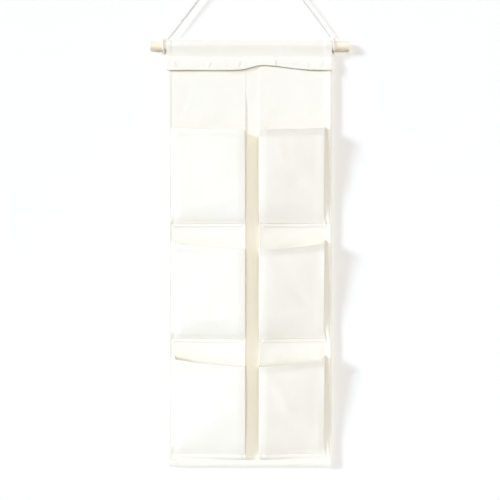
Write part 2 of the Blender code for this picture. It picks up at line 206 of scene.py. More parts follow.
# Soft folds of each pocket's front: the place from its outer edge and from its foot, how far
# the fold reaches across and along itself, its turn from upright in degrees, and its height
SOFT_FOLDS = {
    "top_left": (
        (0.076, 0.037, 0.010, 0.045, 75, 0.0022),
        (0.004, 0.017, 0.004, 0.008, 20, -0.0020),
    ),
    "middle_left": (
        (0.074, 0.037, 0.011, 0.050, 83, 0.0020),
        (0.004, 0.018, 0.004, 0.008, 20, -0.0020),
    ),
    "bottom_left": (
        (0.055, 0.062, 0.024, 0.060, 70, 0.0027),
        (0.006, 0.016, 0.005, 0.010, 25, -0.0017),
    ),
    "top_right": (
        (0.075, 0.035, 0.010, 0.045, 80, 0.0019),
        (0.052, 0.079, 0.014, 0.026, 50, -0.0022),
        (0.085, 0.150, 0.010, 0.028, 15, 0.0015),
    ),
    "middle_right": (
        (0.075, 0.038, 0.012, 0.042, 80, 0.0019),
        (0.096, 0.120, 0.014, 0.050, 12, 0.0019),
        (0.040, 0.075, 0.012, 0.030, 40, -0.0017),
    ),
    "bottom_right": (
        (0.082, 0.120, 0.013, 0.045, 25, 0.0019),
        (0.070, 0.062, 0.014, 0.030, 60, -0.0020),
    ),
}

# Soft folds of the columns above the pockets, each as its x and z, its reach across and along
# itself, its turn from upright in degrees, and its height
HEADER_FOLDS = {
    "left": (
        (-0.1275, -0.3200, 0.0060, 0.0240, 24, -0.0012),
        (-0.1440, -0.3560, 0.0050, 0.0150, -38, 0.0010),
        (-0.0900, -0.3480, 0.0200, 0.0300, 60, 0.0010),
    ),
    "right": (
        (0.0650, -0.3300, 0.0140, 0.0350, 35, -0.0010),
        (0.1050, -0.3000, 0.0120, 0.0300, -20, 0.0008),
    ),
}

# Header flap and sleeve
FLAP_HEIGHT = 0.0265
FLAP_DEPTH = 0.00388
FLAP_OVERHANGS = (0.0038, 0.0016)
FLAP_PROUD = 0.0034
FLAP_WAVE = 0.0005
FLAP_BULGE = 0.0012
FLAP_ROLL = 0.0005
FLAP_ROLL_START = 0.86
FLAP_HEM_ROLL = 0.0035
FLAP_BEND = 0.003
FLAP_BULGE_SHARE = 0.8
FLAP_BULGE_START = 0.25
FLAP_WAVES = 3.5
FLAP_NOTCH = 0.0095
FLAP_NOTCH_X = 0.0234
FLAP_NOTCH_LEFT = 0.027
FLAP_NOTCH_RIGHT = 0.061
FLAP_PUCKERS = (-0.143, -0.077, -0.046, -0.021, 0.048, 0.086, 0.109, 0.136)
PUCKER_DROP = 0.0155
PUCKER_REACH = (0.0028, 0.0062)
PUCKER_HEIGHT = 0.0016
PUCKER_TILTS = (math.radians(-20), math.radians(26))
PUCKER_SPREAD = 0.0012
PUCKER_EVEN = 0.65
PUCKER_TURNS = (5.0, 2.3)
PUCKER_DIP = 0.6
PUCKER_DIP_SHIFT = 0.0040
CREASE_DROP = 0.0035
CREASE_DEPTH = 0.0005
CREASE_REACH = 0.0016
CREASE_EVEN = 0.6
SLEEVE_OVERHANGS = (0.0030, 0.0011)
SLEEVE_HEM = 0.0005
SLEEVE_HEM_WIDTHS = (0.0080, 0.0130)
SLEEVE_HEM_EDGE = 0.0010
SLEEVE_HEM_START = 0.05
SLEEVE_SEAM_SHARE = 0.12
SLEEVE_FRONT_BOW = 1.4
SLEEVE_ARC_STEPS = 60
SLEEVE_SIDE_STEPS = 10

# Unevenness of each cloth as its size and what sets it apart, and the share of it that shows
SLEEVE_SOFT = ((0.016, 5.0), (0.045, 6.0))
SLEEVE_EVEN = 0.8
CREASE_SOFT = (0.030, 12.0)
FLAP_SOFT = (0.018, 9.0)
FLAP_SOFT_SHARE = 1.8
FLAP_SOFT_START = 3.0
PANEL_SOFT = (0.06, 2.0)
PANEL_SOFT_SHARE = 0.4
COLUMN_SOFT = (0.045, 6.0)
COLUMN_FINE_SIZE = 0.016
COLUMN_FINE_SHARE = 0.5
COLUMN_SLANT = 0.3
COLUMN_DIP_SHARE = 0.5
GUSSET_SOFT = (0.03, 8.0)
GUSSET_SOFT_SHARE = 0.6
GUSSET_LEAST = 1.5 * GAP
BAND_SOFT = (0.02, 4.0)
FOOT_BAND_SOFT = (0.008, 3.0)

# How quickly cloth gets free of its seams: at its sides, its lower end and its upper end
PANEL_SEAMS = (8.0, 30.0, 20.0)
COLUMN_SEAMS = (6.0, 30.0, 20.0)
FOOT_SEAM_REACH = 0.012

# Steps of each cloth's mesh across and up, as shares of the mesh step, and the panel's extra
# points beside the gutter, in margins from each fold
STRIP_STEPS = (1.0, 0.5)
FLAP_STEPS = (0.6, 0.4)
PANEL_STEPS = (1.6, 2.0)
SIDE_HEM_STEPS = (1 / 3, 1.0)
COLUMN_STEPS = (1.0, 1.0)
POCKET_STEPS = (0.8, 0.8)
INNER_GUSSET_STEPS = (1.0, 0.8)
GUTTER_MARKS = (-7.0, -6.0, 0.0, 1.0)

# How far the panel's bottom edge turns back towards the wall
BOTTOM_TURN = 0.0030
BOTTOM_TURN_REACH = 0.0095

# Side hems, the thin lip with which each lies over its column, and the swell of sewn bands
HEM_LIPS = {"left": 0.0012, "right": 0.0025}
HEM_LIP_THICKNESS = 0.0002
HEM_LIP_TAPER = 0.0008
HEM_LIP_DROPS = {-1: 0.00034, 1: 0.0002}
HEM_DROP_REACH = 0.0040
SIDE_HEM_STEP = 0.0004
BAND_SWELL = 0.3

# Rows of stitches: how far they stand off the cloth in thread radii, their places on the hems,
# and the steps along each line
STITCH_LIFT = 0.35
SIDE_ROW_SHARE = 0.72
SIDE_ROW_TOP = 0.6
HEM_ROW_DROP = 0.0022
HEM_ROW_INSET = 0.003
HEM_ROW_SWELL = 0.5
FOOT_ROW_INSETS = (0.002, 0.001)
MOUTH_ROW_DROP = 0.0018
MOUTH_ROW_ENDS = (0.02, 0.98)
ROW_STEPS = 60
FOOT_ROW_STEPS = 40
STITCH_FACES = (8, 5)

# Where each lamp's light comes from, half the width of the wall and the floor, and between
# which shares from left to right the room's light changes
LAMP_DIRECTIONS = {
    "window": (-1.68, -1.0, 0.62),
    "front": (-0.02, -1.0, 0.13),
    "back": (-0.15, 1.0, 0.30),
}
STAGE_HALF = 4.0
ROOM_SHARES = (-0.2, 0.9)

# Looks of the canvas: how its uneven yarns and its mottle vary per metre, between which values
# each goes from its shade to the full colour, and between which shares of open sky the painted
# shade in folds and recesses fades out, the rays that judge the sky, and how far a face turns to
# the wall to stay free of that painted shade
SLUB_SCALES = (1300.0, 45.0)
SLUB_RANGE = (0.7, 1.3)
SLUB_SHADE = 0.96
SLUB_HEIGHT = 0.8
MOTTLE_SCALE = 26.0
MOTTLE_RANGE = (0.35, 0.65)
MOTTLE_SHADE = 0.97
WEAVE_RANGE = (0.0, 0.5)
WEAVE_SHADE = 0.95
PAINTED_SHADE_SKY = (0.1, 0.95)
PAINTED_SHADE_SAMPLES = 4
BACK_FACING = 0.3
WEAVE_BUMP = (0.00012, 0.5)

# Looks of cotton thread and cord, and of wood: how fibres and grain vary per metre, their
# ranges and shades as above, and each bump's height with its strength
FIBRE_SCALES = (300.0, 2200.0)
FIBRE_TURN = math.radians(-35)
COTTON_SCALES = (90.0, 300.0)
COTTON_RANGE = (0.3, 0.7)
FIBRE_SHADE = 0.93
COTTON_SHADE = 0.97
THREAD_BUMP = (0.00004, 0.7)
CORD_BUMP = (0.00015, 0.7)
GRAIN_ACROSS = 420.0
GRAIN_ALONG = 14.0
GRAIN_RANGES = ((0.36, 0.62), (0.3, 0.6), (0.30, 0.42))
GRAIN_MIDS = (0.35, 0.6)
GRAIN_BUMP = (0.0002, 0.4)


class OrganizerCloth(bpy.types.PropertyGroup):
    """Sizes and colours of the canvas, its hems and its stitches."""

    thickness: FloatProperty(
        name="Thickness", description="Thickness of the canvas", default=0.0010, unit="LENGTH"
    )
    hem_thickness: FloatProperty(
        name="Hem thickness", description="Thickness where the canvas is folded over",
        default=0.0018, unit="LENGTH",
    )
    mouth_hem: FloatProperty(
        name="Mouth hem", description="Height of the folded band at a pocket's mouth",
        default=0.0120, unit="LENGTH",
    )
    grid: FloatProperty(
        name="Mesh step", description="Distance between the points of a cloth mesh",
        default=0.0030, unit="LENGTH",
    )
    crumple: FloatProperty(
        name="Crumple", description="Height of the soft unevenness of hanging canvas",
        default=0.0006, unit="LENGTH",
    )
    yarn: FloatProperty(
        name="Yarn", description="Distance from yarn to yarn in the weave",
        default=0.00075, unit="LENGTH",
    )
    stitch_length: FloatProperty(
        name="Stitch", description="Length of one stitch", default=0.0025, unit="LENGTH"
    )
    stitch_pitch: FloatProperty(
        name="Stitch pitch", description="Distance from stitch to stitch",
        default=0.0033, unit="LENGTH",
    )
    stitch_radius: FloatProperty(
        name="Thread", description="Radius of the sewing thread", default=0.0005, unit="LENGTH"
    )
    colour: FloatVectorProperty(
        name="Canvas", description="Colour of the canvas", subtype="COLOR",
        default=(0.96, 0.935, 0.82),
    )
    # Painted shade: the warmer, darker colour painted on the canvas where other cloth is near, in folds,
    # gutters and under the flap, and how near that cloth must be
    painted_fold_shade: FloatVectorProperty(
        name="Canvas in folds", description="Warmer colour of the canvas deep in its folds",
        subtype="COLOR", default=(0.945, 0.875, 0.70),
    )
    painted_shade_reach: FloatProperty(
        name="Fold reach", description="How near other cloth is where the canvas looks warmer",
        default=0.045, unit="LENGTH",
    )
    thread_colour: FloatVectorProperty(
        name="Thread colour", description="Colour of the sewing thread", subtype="COLOR",
        default=(0.96, 0.95, 0.91),
    )


class OrganizerCord(bpy.types.PropertyGroup):
    """Sizes and colours of the hanging cord."""

    diameter: FloatProperty(
        name="Diameter", description="Diameter of the cord", default=0.0035, unit="LENGTH"
    )
    strands: IntProperty(name="Strands", description="Strands twisted into the cord", default=3)
    lay: FloatProperty(
        name="Lay", description="Length of cord for one full turn of a strand",
        default=0.0120, unit="LENGTH",
    )
    step: FloatProperty(
        name="Mesh step", description="Distance between the rings of the cord's mesh",
        default=0.0007, unit="LENGTH",
    )
    colour: FloatVectorProperty(
        name="Cotton", description="Colour of the cord", subtype="COLOR",
        default=(0.98, 0.96, 0.88),
    )


class OrganizerWood(bpy.types.PropertyGroup):
    """Colours of the wooden parts."""

    dowel: FloatVectorProperty(
        name="Dowel", description="Colour of the dowel", subtype="COLOR",
        default=(0.97, 0.87, 0.71),
    )
    dowel_grain: FloatVectorProperty(
        name="Dowel grain", description="Colour of the dowel's darker grain", subtype="COLOR",
        default=(0.91, 0.77, 0.57),
    )
    peg: FloatVectorProperty(
        name="Peg", description="Colour of the peg", subtype="COLOR", default=(0.80, 0.66, 0.48)
    )
    peg_grain: FloatVectorProperty(
        name="Peg grain", description="Colour of the peg's darker grain", subtype="COLOR",
        default=(0.68, 0.52, 0.35),
    )


class OrganizerStage(bpy.types.PropertyGroup):
    """Camera, lamps, wall and floor."""

    camera_distance: FloatProperty(
        name="Camera distance", description="From the camera to the panel",
        default=1.75, unit="LENGTH",
    )
    view_width: FloatProperty(
        name="View width", description="What the picture spans at the panel",
        default=0.954, unit="LENGTH",
    )
    view_x: FloatProperty(
        name="View X", description="The picture's middle along X", default=-0.0017, unit="LENGTH"
    )
    view_z: FloatProperty(
        name="View Z", description="The picture's middle along Z", default=-0.5989, unit="LENGTH"
    )
    key_strength: FloatProperty(
        name="Window light", description="Strength of the window light", default=1.68
    )
    key_spread: FloatProperty(
        name="Window spread", description="How wide the window light looks from the panel",
        subtype="ANGLE", default=math.radians(15),
    )
    front_strength: FloatProperty(
        name="Front light", description="Strength of the broad light from the front", default=1.57
    )
    front_spread: FloatProperty(
        name="Front spread", description="How wide the front light looks from the panel",
        subtype="ANGLE", default=math.radians(11),
    )
    daylight: FloatVectorProperty(
        name="Window colour", description="Colour of the window light", subtype="COLOR",
        default=(0.93, 1.08, 1.36),
    )
    front_colour: FloatVectorProperty(
        name="Front colour", description="Colour of the light from the front", subtype="COLOR",
        default=(1.0, 1.03, 1.16),
    )
    back_strength: FloatProperty(
        name="Back light", description="Strength of the light on the panel's back", default=0.8
    )
    back_spread: FloatProperty(
        name="Back spread", description="How wide the back light looks from the panel",
        subtype="ANGLE", default=0.6,
    )
    back_colour: FloatVectorProperty(
        name="Back colour", description="Colour of the light on the panel's back",
        subtype="COLOR", default=(1.0, 0.985, 0.95),
    )
    near_window: FloatVectorProperty(
        name="Room light, window side", description="Even light from the window side",
        subtype="COLOR", default=(0.17, 0.168, 0.155),
    )
    far_from_window: FloatVectorProperty(
        name="Room light, far side", description="Even light from the far side of the room",
        subtype="COLOR", default=(0.50, 0.355, 0.18),
    )
    wall: FloatVectorProperty(
        name="Wall", description="Colour of the wall", subtype="COLOR", default=(0.93, 0.925, 0.872)
    )
    wall_glow: FloatProperty(
        name="Wall glow", description="Share of plain white in the wall as the camera sees it",
        subtype="FACTOR", default=0.04,
    )
    floor: FloatVectorProperty(
        name="Floor", description="Colour of the floor", subtype="COLOR",
        default=(0.60, 0.59, 0.55),
    )
    floor_glow: FloatProperty(
        name="Floor glow", description="Share of plain white in the floor as the camera sees it",
        subtype="FACTOR", default=0.5,
    )
    floor_z: FloatProperty(
        name="Floor height", description="Height of the floor", default=-1.50, unit="LENGTH"
    )


GROUPS = {
    "organizer_cloth": OrganizerCloth,
    "organizer_cord": OrganizerCord,
    "organizer_wood": OrganizerWood,
    "organizer_stage": OrganizerStage,
}


def mix(start, end, share):
    return start + (end - start) * share


def clamp(value):
    return min(1.0, max(0.0, value))


def ease(share):
    share = clamp(share)
    return share * share * (3 - 2 * share)


def shares(count):
    """Even shares from 0 to 1 in count steps."""
    return [step / count for step in range(count + 1)]


def cloth_shares(length, step):
    """Shares along a cloth's length, with a narrow step at both ends for its rounded edge."""
    edge = EDGE_LOOP / length
    count = max(1, round(length / step))
    return [0.0, *(mix(edge, 1 - edge, share) for share in shares(count)), 1.0]


def crumple(x, z, size, seed):
    """Soft unevenness between about -1 and 1, with humps about size wide."""
    return noise.noise(Vector((x / size, z / size, seed)))


def free_share(across, up, sides, low, high):
    """1 on free cloth and 0 on its seams."""
    return ease(across * sides) * ease((1 - across) * sides) * ease(up * low) * ease((1 - up) * high)


def hump(x, z, middle, reach, tilt):
    """A soft oval hump, 1 at its middle, with its long side turned by tilt from upright."""
    dx, dz = x - middle[0], z - middle[1]
    across = dx * math.cos(tilt) - dz * math.sin(tilt)
    along = dx * math.sin(tilt) + dz * math.cos(tilt)
    return math.exp(-((across / reach[0]) ** 2) - (along / reach[1]) ** 2)


# Shapes of the columns and pockets


def fold_x(side):
    """The fold beside the gutter, from the panel's middle."""
    return GUTTER_SHIFT + side * GUTTER_WIDTH / 2


def column_x(side, share):
    """Across a column, from its side hem at share 0 to its fold at share 1."""
    return MIDDLE_X + mix(side * (HEM_INNER - GAP), fold_x(side), share)


def column_share(side, x):
    outer = column_x(side, 0)
    return (x - outer) / (column_x(side, 1) - outer)


def fold_depth(side, height):
    """How far a column's fold stands out at a height, eased between its seams."""
    marks = [(top, FOLD_SEAM_SHARES[side]) for top in (SEAM_Z, FOLD_OPEN_Z)]
    for foot, mouth_share, foot_share in zip(FOOT_ZS, FOLD_MOUTH_SHARES[side], FOLD_FOOT_SHARES):
        marks += [(foot + POCKET_HEIGHT, mouth_share), (foot, foot_share)]
    marks.append((HEM_TOP_Z, FOLD_HEM_SHARE))
    for (top, top_share), (low, low_share) in zip(marks, marks[1:]):
        if height >= low:
            return FOLD_DEPTH * mix(top_share, low_share, ease((top - height) / (top - low)))
    return FOLD_DEPTH * FOLD_HEM_SHARE


def edge_curl(x, height):
    """How far the panel's right edge curls forward, which it does below the seam."""
    inward = MIDDLE_X + HALF_PANEL - x
    return EDGE_CURL * (1 - ease(inward / EDGE_CURL_REACH)) * ease((SEAM_Z - height) / EDGE_CURL_DROP)


def bottom_turn(height):
    """How far the panel's bottom edge turns back towards the wall at a height."""
    return BOTTOM_TURN * clamp(1 - (height - BOTTOM_Z) / BOTTOM_TURN_REACH) ** 2


def pressed(side, share, height):
    """How flat a column's cloth is pressed beside its fold, above where the fold opens."""
    beside = ease((share - FOLD_PRESSED_SHARE) / (1 - FOLD_PRESSED_SHARE))
    return FOLD_PRESSES[side] * beside * ease((height - FOLD_PRESS_Z) / FOLD_PRESS_REACH)


def band_bulge(side, share, height):
    """How far a column's cloth stands out under the foot of a pocket."""
    bulge = 0.0
    for foot in FOOT_ZS[:-1]:
        drop = (foot - height - BAND_BULGE_Z) / BAND_BULGE_REACH
        bulge += BAND_BULGES[side] * ease(1 - abs(drop))
    outer, inner = BAND_BULGE_ENDS
    return bulge * ease(share / outer) * ease((1 - share) / inner)


def column_depth(side, share, height, thickness):
    """How far a column's front face stands out from the back panel."""
    flat = GAP + thickness * (1 - pressed(side, share, height))
    curl = edge_curl(column_x(side, share), height)
    out = fold_depth(side, height) * clamp(share) ** COLUMN_BEND
    return flat + curl + out + band_bulge(side, share, height)


def belly(share):
    """How a pocket opens from its foot up: flat off the seam, then quickly, then slower."""

    def opening(rise):
        return (math.hypot(rise, BELLY_ROUND) - BELLY_ROUND + BELLY_START) ** BELLY_POWER

    return (opening(share) - opening(0)) / (opening(1) - opening(0))


class Pocket:
    """The surfaces of one pocket, from its outer edge at across 0 to its fold at 1."""

    def __init__(self, side, row, cloth):
        self.side, self.row = side, row
        self.thickness = cloth.thickness
        self.hem_step = (cloth.hem_thickness - cloth.thickness) * MOUTH_STEP_SHARE
        self.mouth_hem = cloth.mouth_hem
        self.crumple = cloth.crumple
        self.soft_folds = SOFT_FOLDS[f"{ROWS[row]}_{'left' if side < 0 else 'right'}"]
        self.foot = FOOT_ZS[row] + FOOT_BAND_HEIGHT + GAP
        self.width = abs(column_x(side, 1) - MIDDLE_X - side * POCKET_OUTER)

    def mouth(self, across):
        slant = MOUTH_SLANT * MOUTH_SLANT_SHARES[self.row] * (0.5 - across)
        sag = MOUTH_SAGS[self.row] * 4 * across * (1 - across)
        return FOOT_ZS[self.row] + POCKET_HEIGHT + slant - sag

    def height(self, across, up):
        return mix(self.foot, self.mouth(across), up)

    def x(self, across, height):
        above = clamp((height - self.foot) / FOOT_FLARE_REACH)
        outer = MIDDLE_X + self.side * (POCKET_OUTER + FOOT_FLARE * (1 - above) ** 2)
        inner = column_x(self.side, 1) - self.side * FOLD_OVERHANGS[self.side] * ease(above)
        return mix(outer, inner, across)

    def seat(self, across, height):
        """The depth at which the pocket would lie flat on its column."""
        share = column_share(self.side, self.x(across, height))
        return column_depth(self.side, share, height, self.thickness) + GAP + self.thickness

    def plain_depth(self, across, up):
        """The depth of the pocket's front, with its rolled fold and its leaning mouth."""
        mouth = self.seat(across, self.mouth(across))
        lift = mix(MOUTH_DEPTH_OUTER, MOUTH_DEPTH_INNER, across) - mouth
        bow = POCKET_BOW * math.sin(math.pi * across) + POCKET_FULLNESS[self.row] * across
        bow *= math.sin(math.pi * clamp(up))
        depth = self.seat(across, self.height(across, up)) + lift * belly(up) + bow
        inward, outward = (1 - across) * self.width, across * self.width
        round_off = 1 - clamp(inward / FOLD_ROLL_REACH)
        depth -= FOLD_ROLL * (1 - math.sqrt(1 - round_off**2)) * ease(up / FOLD_ROLL_RISE)
        depth += EDGE_LIP * (1 - ease(outward / EDGE_LIP_REACH)) * ease(up / EDGE_LIP_RISE)
        lean = clamp(1 - (1 - up) * POCKET_HEIGHT / MOUTH_LEAN_REACH)
        return depth + MOUTH_LEANS[self.side] * lean**MOUTH_LEAN_POWER

    def folds(self, across, up):
        """What the pull of the seams adds to the front between its edges."""
        rise = self.height(across, up) - self.foot
        start = FOOT_ROLL_STARTS[self.row]
        roll = FOOT_ROLLS[self.side][self.row] * (1 - math.exp(-rise / start))
        roll *= math.exp(-rise / FOOT_ROLL_REACH) * ease(rise / FOOT_ROLL_EASE)
        roll *= min(1.0, FOOT_ROLL_GAIN * across + FOOT_ROLL_OUTER)
        inward = (1 - across) * self.width
        rounded = EDGE_ROUND * ease(inward / EDGE_ROUND_REACH) * mix(EDGE_ROUND_OUTER, 1.0, across)
        free = (math.sin(math.pi * clamp(across)) * math.sin(math.pi * clamp(up))) ** WAVE_FADE
        return roll + rounded + (self.crumple * self.waves(across, up) + self.soft(across, rise)) * free

    def waves(self, across, up):
        """The broad and fine waves of hanging canvas, which differ from pocket to pocket."""
        x, z = self.x(across, 0), self.height(across, up)
        row_seed, fine_seed = WAVE_SEEDS
        seed = row_seed * self.row + self.side
        high, size = BROAD_WAVES
        broad = high * crumple(x + WAVE_SLANT * z * self.side, WAVE_STRETCH * z, size, seed)
        high, size = FINE_WAVES
        return broad + high * crumple(x, z, size, seed + fine_seed)

    def soft(self, across, rise):
        """The height of this pocket's own soft folds."""
        total = 0.0
        for out, high, reach, along, turn, height in self.soft_folds:
            tilt = math.radians(turn)
            total += height * hump(across * self.width, rise, (out, high), (reach, along), tilt)
        return total

    def hem(self, up):
        """The step where the mouth's folded band begins."""
        below = (1 - up) * POCKET_HEIGHT
        return self.hem_step * (1 - ease((below - self.mouth_hem) / (self.thickness * MOUTH_STEP_REACH)))

    def front(self, across, up):
        depth = self.plain_depth(across, up) + self.folds(across, up) + self.hem(up)
        height = self.height(across, up)
        return (self.x(across, height), -depth, height)

    def edge_depth(self, across, up):
        return self.plain_depth(across, up) - self.thickness - 2 * GAP

    def outer_gusset(self, across, up):
        height = self.height(0, up)
        ear = EAR_HEIGHTS[self.row] * math.sin(math.pi * across) * ease(1 - (1 - up) / EAR_RISE)
        front = self.x(0, height)
        pleat = GUSSET_PLEAT * math.sin(math.pi * across) * up
        back = column_depth(self.side, 0, height, self.thickness) + GAP + self.thickness
        back += self.thickness * GUSSET_SEAM
        x = mix(front, column_x(self.side, 0), across) - self.side * pleat
        return (x, -mix(self.edge_depth(0, up), back, across), height + ear)

    def inner_gusset(self, across, up):
        height = self.height(1, up)
        back = column_depth(self.side, 1, height, self.thickness) + GAP
        x = mix(self.x(1, height), column_x(self.side, 1), across)
        return (x, -mix(self.edge_depth(1, up), back, across), height)


# Pieces of cloth


def new_object(name, data):
    """An object in the scene."""
    piece = bpy.data.objects.new(name, data)
    bpy.context.scene.collection.objects.link(piece)
    return piece


def new_piece(name, points, faces, weave):
    """A smooth piece, with each point's place on its weave in metres."""
    mesh = bpy.data.meshes.new(name)
    mesh.from_pydata(points, [], faces)
    layer = mesh.uv_layers.new(name="Weave")
    for loop in mesh.loops:
        layer.data[loop.index].uv = weave[loop.vertex_index]
    mesh.shade_smooth()
    mesh.validate()
    return new_object(name, mesh)


def finish(piece, node, body, material):
    """Gives a piece its material, hides its node, and attaches it to its body or else bakes its place."""
    piece.data.materials.append(bpy.data.materials[material])
    if isinstance(body, str):
        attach(piece, body)
    else:
        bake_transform(piece)
    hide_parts(node)


def closed_sheet(name, across, up, place, thick, flat):
    """A closed cloth mesh whose outer face is place(across, up), with rounded edges.

    The outer face looks along (rising across) x (rising up). thick is a size or a function
    of the two shares. flat is the cut's width and length, which the weave follows.
    """
    face = np.array([[place(s, t) for s in across] for t in up], float)
    rise, run = np.gradient(face, axis=0), np.gradient(face, axis=1)
    normal = np.cross(run, rise)
    normal /= np.linalg.norm(normal, axis=2, keepdims=True)
    depth = np.array([[thick(s, t) if callable(thick) else thick for s in across] for t in up])
    back = face - normal * depth[:, :, None]

    rows, columns = len(up), len(across)
    rim = [(0, column) for column in range(columns - 1)]
    rim += [(row, columns - 1) for row in range(rows - 1)]
    rim += [(rows - 1, column) for column in range(columns - 1, 0, -1)]
    rim += [(row, 0) for row in range(rows - 1, 0, -1)]
    middles = []
    for row, column in rim:
        inner = (min(max(row, 1), rows - 2), min(max(column, 1), columns - 2))
        middle = (face[row, column] + back[row, column]) / 2
        away = middle - (face[inner] + back[inner]) / 2
        length = max(float(np.linalg.norm(away)), GAP)
        middles.append(middle + away / length * depth[row, column] * EDGE_SWELL)

    points = np.concatenate([face.reshape(-1, 3), back.reshape(-1, 3), np.array(middles)])
    count = rows * columns

    def at(row, column, layer=0):
        return layer * count + row * columns + column

    faces = []
    for row in range(rows - 1):
        for column in range(columns - 1):
            corners = [(row, column), (row, column + 1), (row + 1, column + 1), (row + 1, column)]
            faces.append([at(*corner) for corner in corners])
            faces.append([at(*corner, 1) for corner in reversed(corners)])
    for index, (row, column) in enumerate(rim):
        after = (index + 1) % len(rim)
        first, second = 2 * count + index, 2 * count + after
        faces.append([at(row, column), first, second, at(*rim[after])])
        faces.append([first, at(row, column, 1), at(*rim[after], 1), second])

    weave = [(s * flat[0], t * flat[1]) for t in up for s in across] * 2
    weave += [(across[column] * flat[0], up[row] * flat[1]) for row, column in rim]
    return new_piece(f"{name}_cloth", points.tolist(), faces, weave)


def from_left(side, place):
    """The same surface with its across share turned round, so that it rises with X."""
    return place if side < 0 else (lambda across, up: place(1 - across, up))


def add_cloth(node, place, thick, flat, steps, body="cloth", marks=()):
    """Cloth in place of a node. marks are more shares across at which its mesh has points."""
    grid = bpy.context.scene.organizer_cloth.grid
    across = sorted([*cloth_shares(flat[0], grid * steps[0]), *marks])
    up = cloth_shares(flat[1], grid * steps[1])
    piece = closed_sheet(node, across, up, place, thick, flat)
    finish(piece, node, body, "woven_canvas")
    return piece


def add_folded(node, place, thick, flat, steps, body):
    """Cloth in place of a node, made just as add_cloth makes it. Cloth that folds flat,
    with a cut that may be narrower than its flat size.
    """
    piece = add_cloth(node, place, thick, flat, steps, body)


def pocket_bend(side, row, column):
    """Bodies and ramp over which a pocket's cloth turns away from its column."""
    slope = FOLD_DEPTH / (HEM_INNER - side * fold_x(side))
    out = Vector((side * slope, -1, 0)).normalized()
    start = Vector((column_x(side, 0), -BEND_DEPTH, FOOT_ZS[row]))
    return "cloth", f"pocket_{ROWS[row]}_{column}", start, start + out * BEND_REACH


# Pieces of cord


def smooth_route(route, step):
    """Places along a smooth curve through the route's points."""
    ends = [Vector(point) for point in (route[0], *route, route[-1])]
    places = []
    for before, start, end, after in zip(ends, ends[1:], ends[2:], ends[3:]):
        for share in shares(max(1, round((end - start).length / step)))[:-1]:
            place = 2 * start + (end - before) * share
            place += (2 * before - 5 * start + 4 * end - after) * share**2
            place += (3 * start - before - 3 * end + after) * share**3
            places.append(0.5 * place)
    return places + [ends[-1]]


def twisted_cord(name, places, diameter, lay, strands, sides):
    """A closed tube of twisted strands along places, in place of a node."""
    radius = diameter / 2
    strand = radius / (1 + 1 / math.sin(math.pi / strands))
    centre = radius - strand
    tangents = [
        (places[min(index + 1, len(places) - 1)] - places[max(index - 1, 0)]).normalized()
        for index in range(len(places))
    ]
    side = tangents[0].orthogonal().normalized()
    points, weave, along = [], [], 0.0
    for index, (place, tangent) in enumerate(zip(places, tangents)):
        if index:
            along += (place - places[index - 1]).length
            side = (side - tangent * side.dot(tangent)).normalized()
        other = tangent.cross(side)
        turn = 2 * math.pi * along / lay
        for step in range(sides):
            angle = 2 * math.pi * step / sides
            apart = (angle - turn) % (2 * math.pi / strands) - math.pi / strands
            inside = max(0.0, strand**2 - (centre * math.sin(apart)) ** 2)
            reach = centre * math.cos(apart) + math.sqrt(inside)
            reach = max(reach, radius * GROOVE_RADIUS)
            points.append(place + (side * math.cos(angle) + other * math.sin(angle)) * reach)
            weave.append((along, angle * radius))
    faces = []
    rings = len(places)
    for ring in range(rings - 1):
        for step in range(sides):
            after = (step + 1) % sides
            here, there = ring * sides, (ring + 1) * sides
            faces.append([here + step, here + after, there + after, there + step])
    faces.append(list(reversed(range(sides))))
    faces.append(list(range((rings - 1) * sides, rings * sides)))
    piece = new_piece(f"{name}_rope", points, faces, weave)
    finish(piece, name, "hanger", "twisted_cotton")
    return piece


# Materials


def new_material(name):
    """A new material's node tree and shader."""
    if name in bpy.data.materials:
        raise RuntimeError(f"there is already a material named {name}")
    material = bpy.data.materials.new(name)
    material.use_nodes = True
    return material.node_tree, material.node_tree.nodes["Principled BSDF"]


def set_inputs(tree, node, values):
    """Sets inputs of a node, by name or place, to values or to the outputs of other nodes."""
    for name, value in values.items():
        if isinstance(value, bpy.types.NodeSocket):
            tree.links.new(value, node.inputs[name])
        else:
            node.inputs[name].default_value = value


def add_node(tree, kind, values, **settings):
    """A node with its settings and inputs, and its outputs."""
    node = tree.nodes.new(kind)
    for name, value in settings.items():
        setattr(node, name, value)
    set_inputs(tree, node, values)
    return node.outputs


def add_math(tree, operation, first, second=None):
    values = {0: first} if second is None else {0: first, 1: second}
    return add_node(tree, "ShaderNodeMath", values, operation=operation)[0]


def add_noise(tree, places, scale, stretch, detail, turn=0.0):
    """Noise on places in metres, stretched by a scale along each axis."""
    values = {"Vector": places, "Scale": stretch, "Rotation": (0, 0, turn)}
    turned = add_node(tree, "ShaderNodeMapping", values)[0]
    values = {"Vector": turned, "Scale": scale, "Detail": detail}
    return add_node(tree, "ShaderNodeTexNoise", values)["Fac"]


def add_colours(tree, factor, low, high, dark, light):
    """A colour between dark and light as factor goes from low to high."""
    values = {"Value": factor, "From Min": low, "From Max": high}
    share = add_node(tree, "ShaderNodeMapRange", values)[0]
    blend = tree.nodes.new("ShaderNodeMix")
    blend.data_type = "RGBA"
    sockets = [index for index, socket in enumerate(blend.inputs) if socket.type == "RGBA"]
    colours = [
        colour if isinstance(colour, bpy.types.NodeSocket) else (*colour, 1)
        for colour in (dark, light)
    ]
    set_inputs(tree, blend, {"Factor": share, **dict(zip(sockets, colours))})
    return next(socket for socket in blend.outputs if socket.type == "RGBA")


def add_bump(tree, height, distance, strength):
    values = {"Height": height, "Distance": distance, "Strength": strength}
    return add_node(tree, "ShaderNodeBump", values)[0]


def shade(colour, share):
    return tuple(channel * share for channel in colour)


def mid_colour(dark, light, share):
    return tuple(mix(low, high, share) for low, high in zip(dark, light))


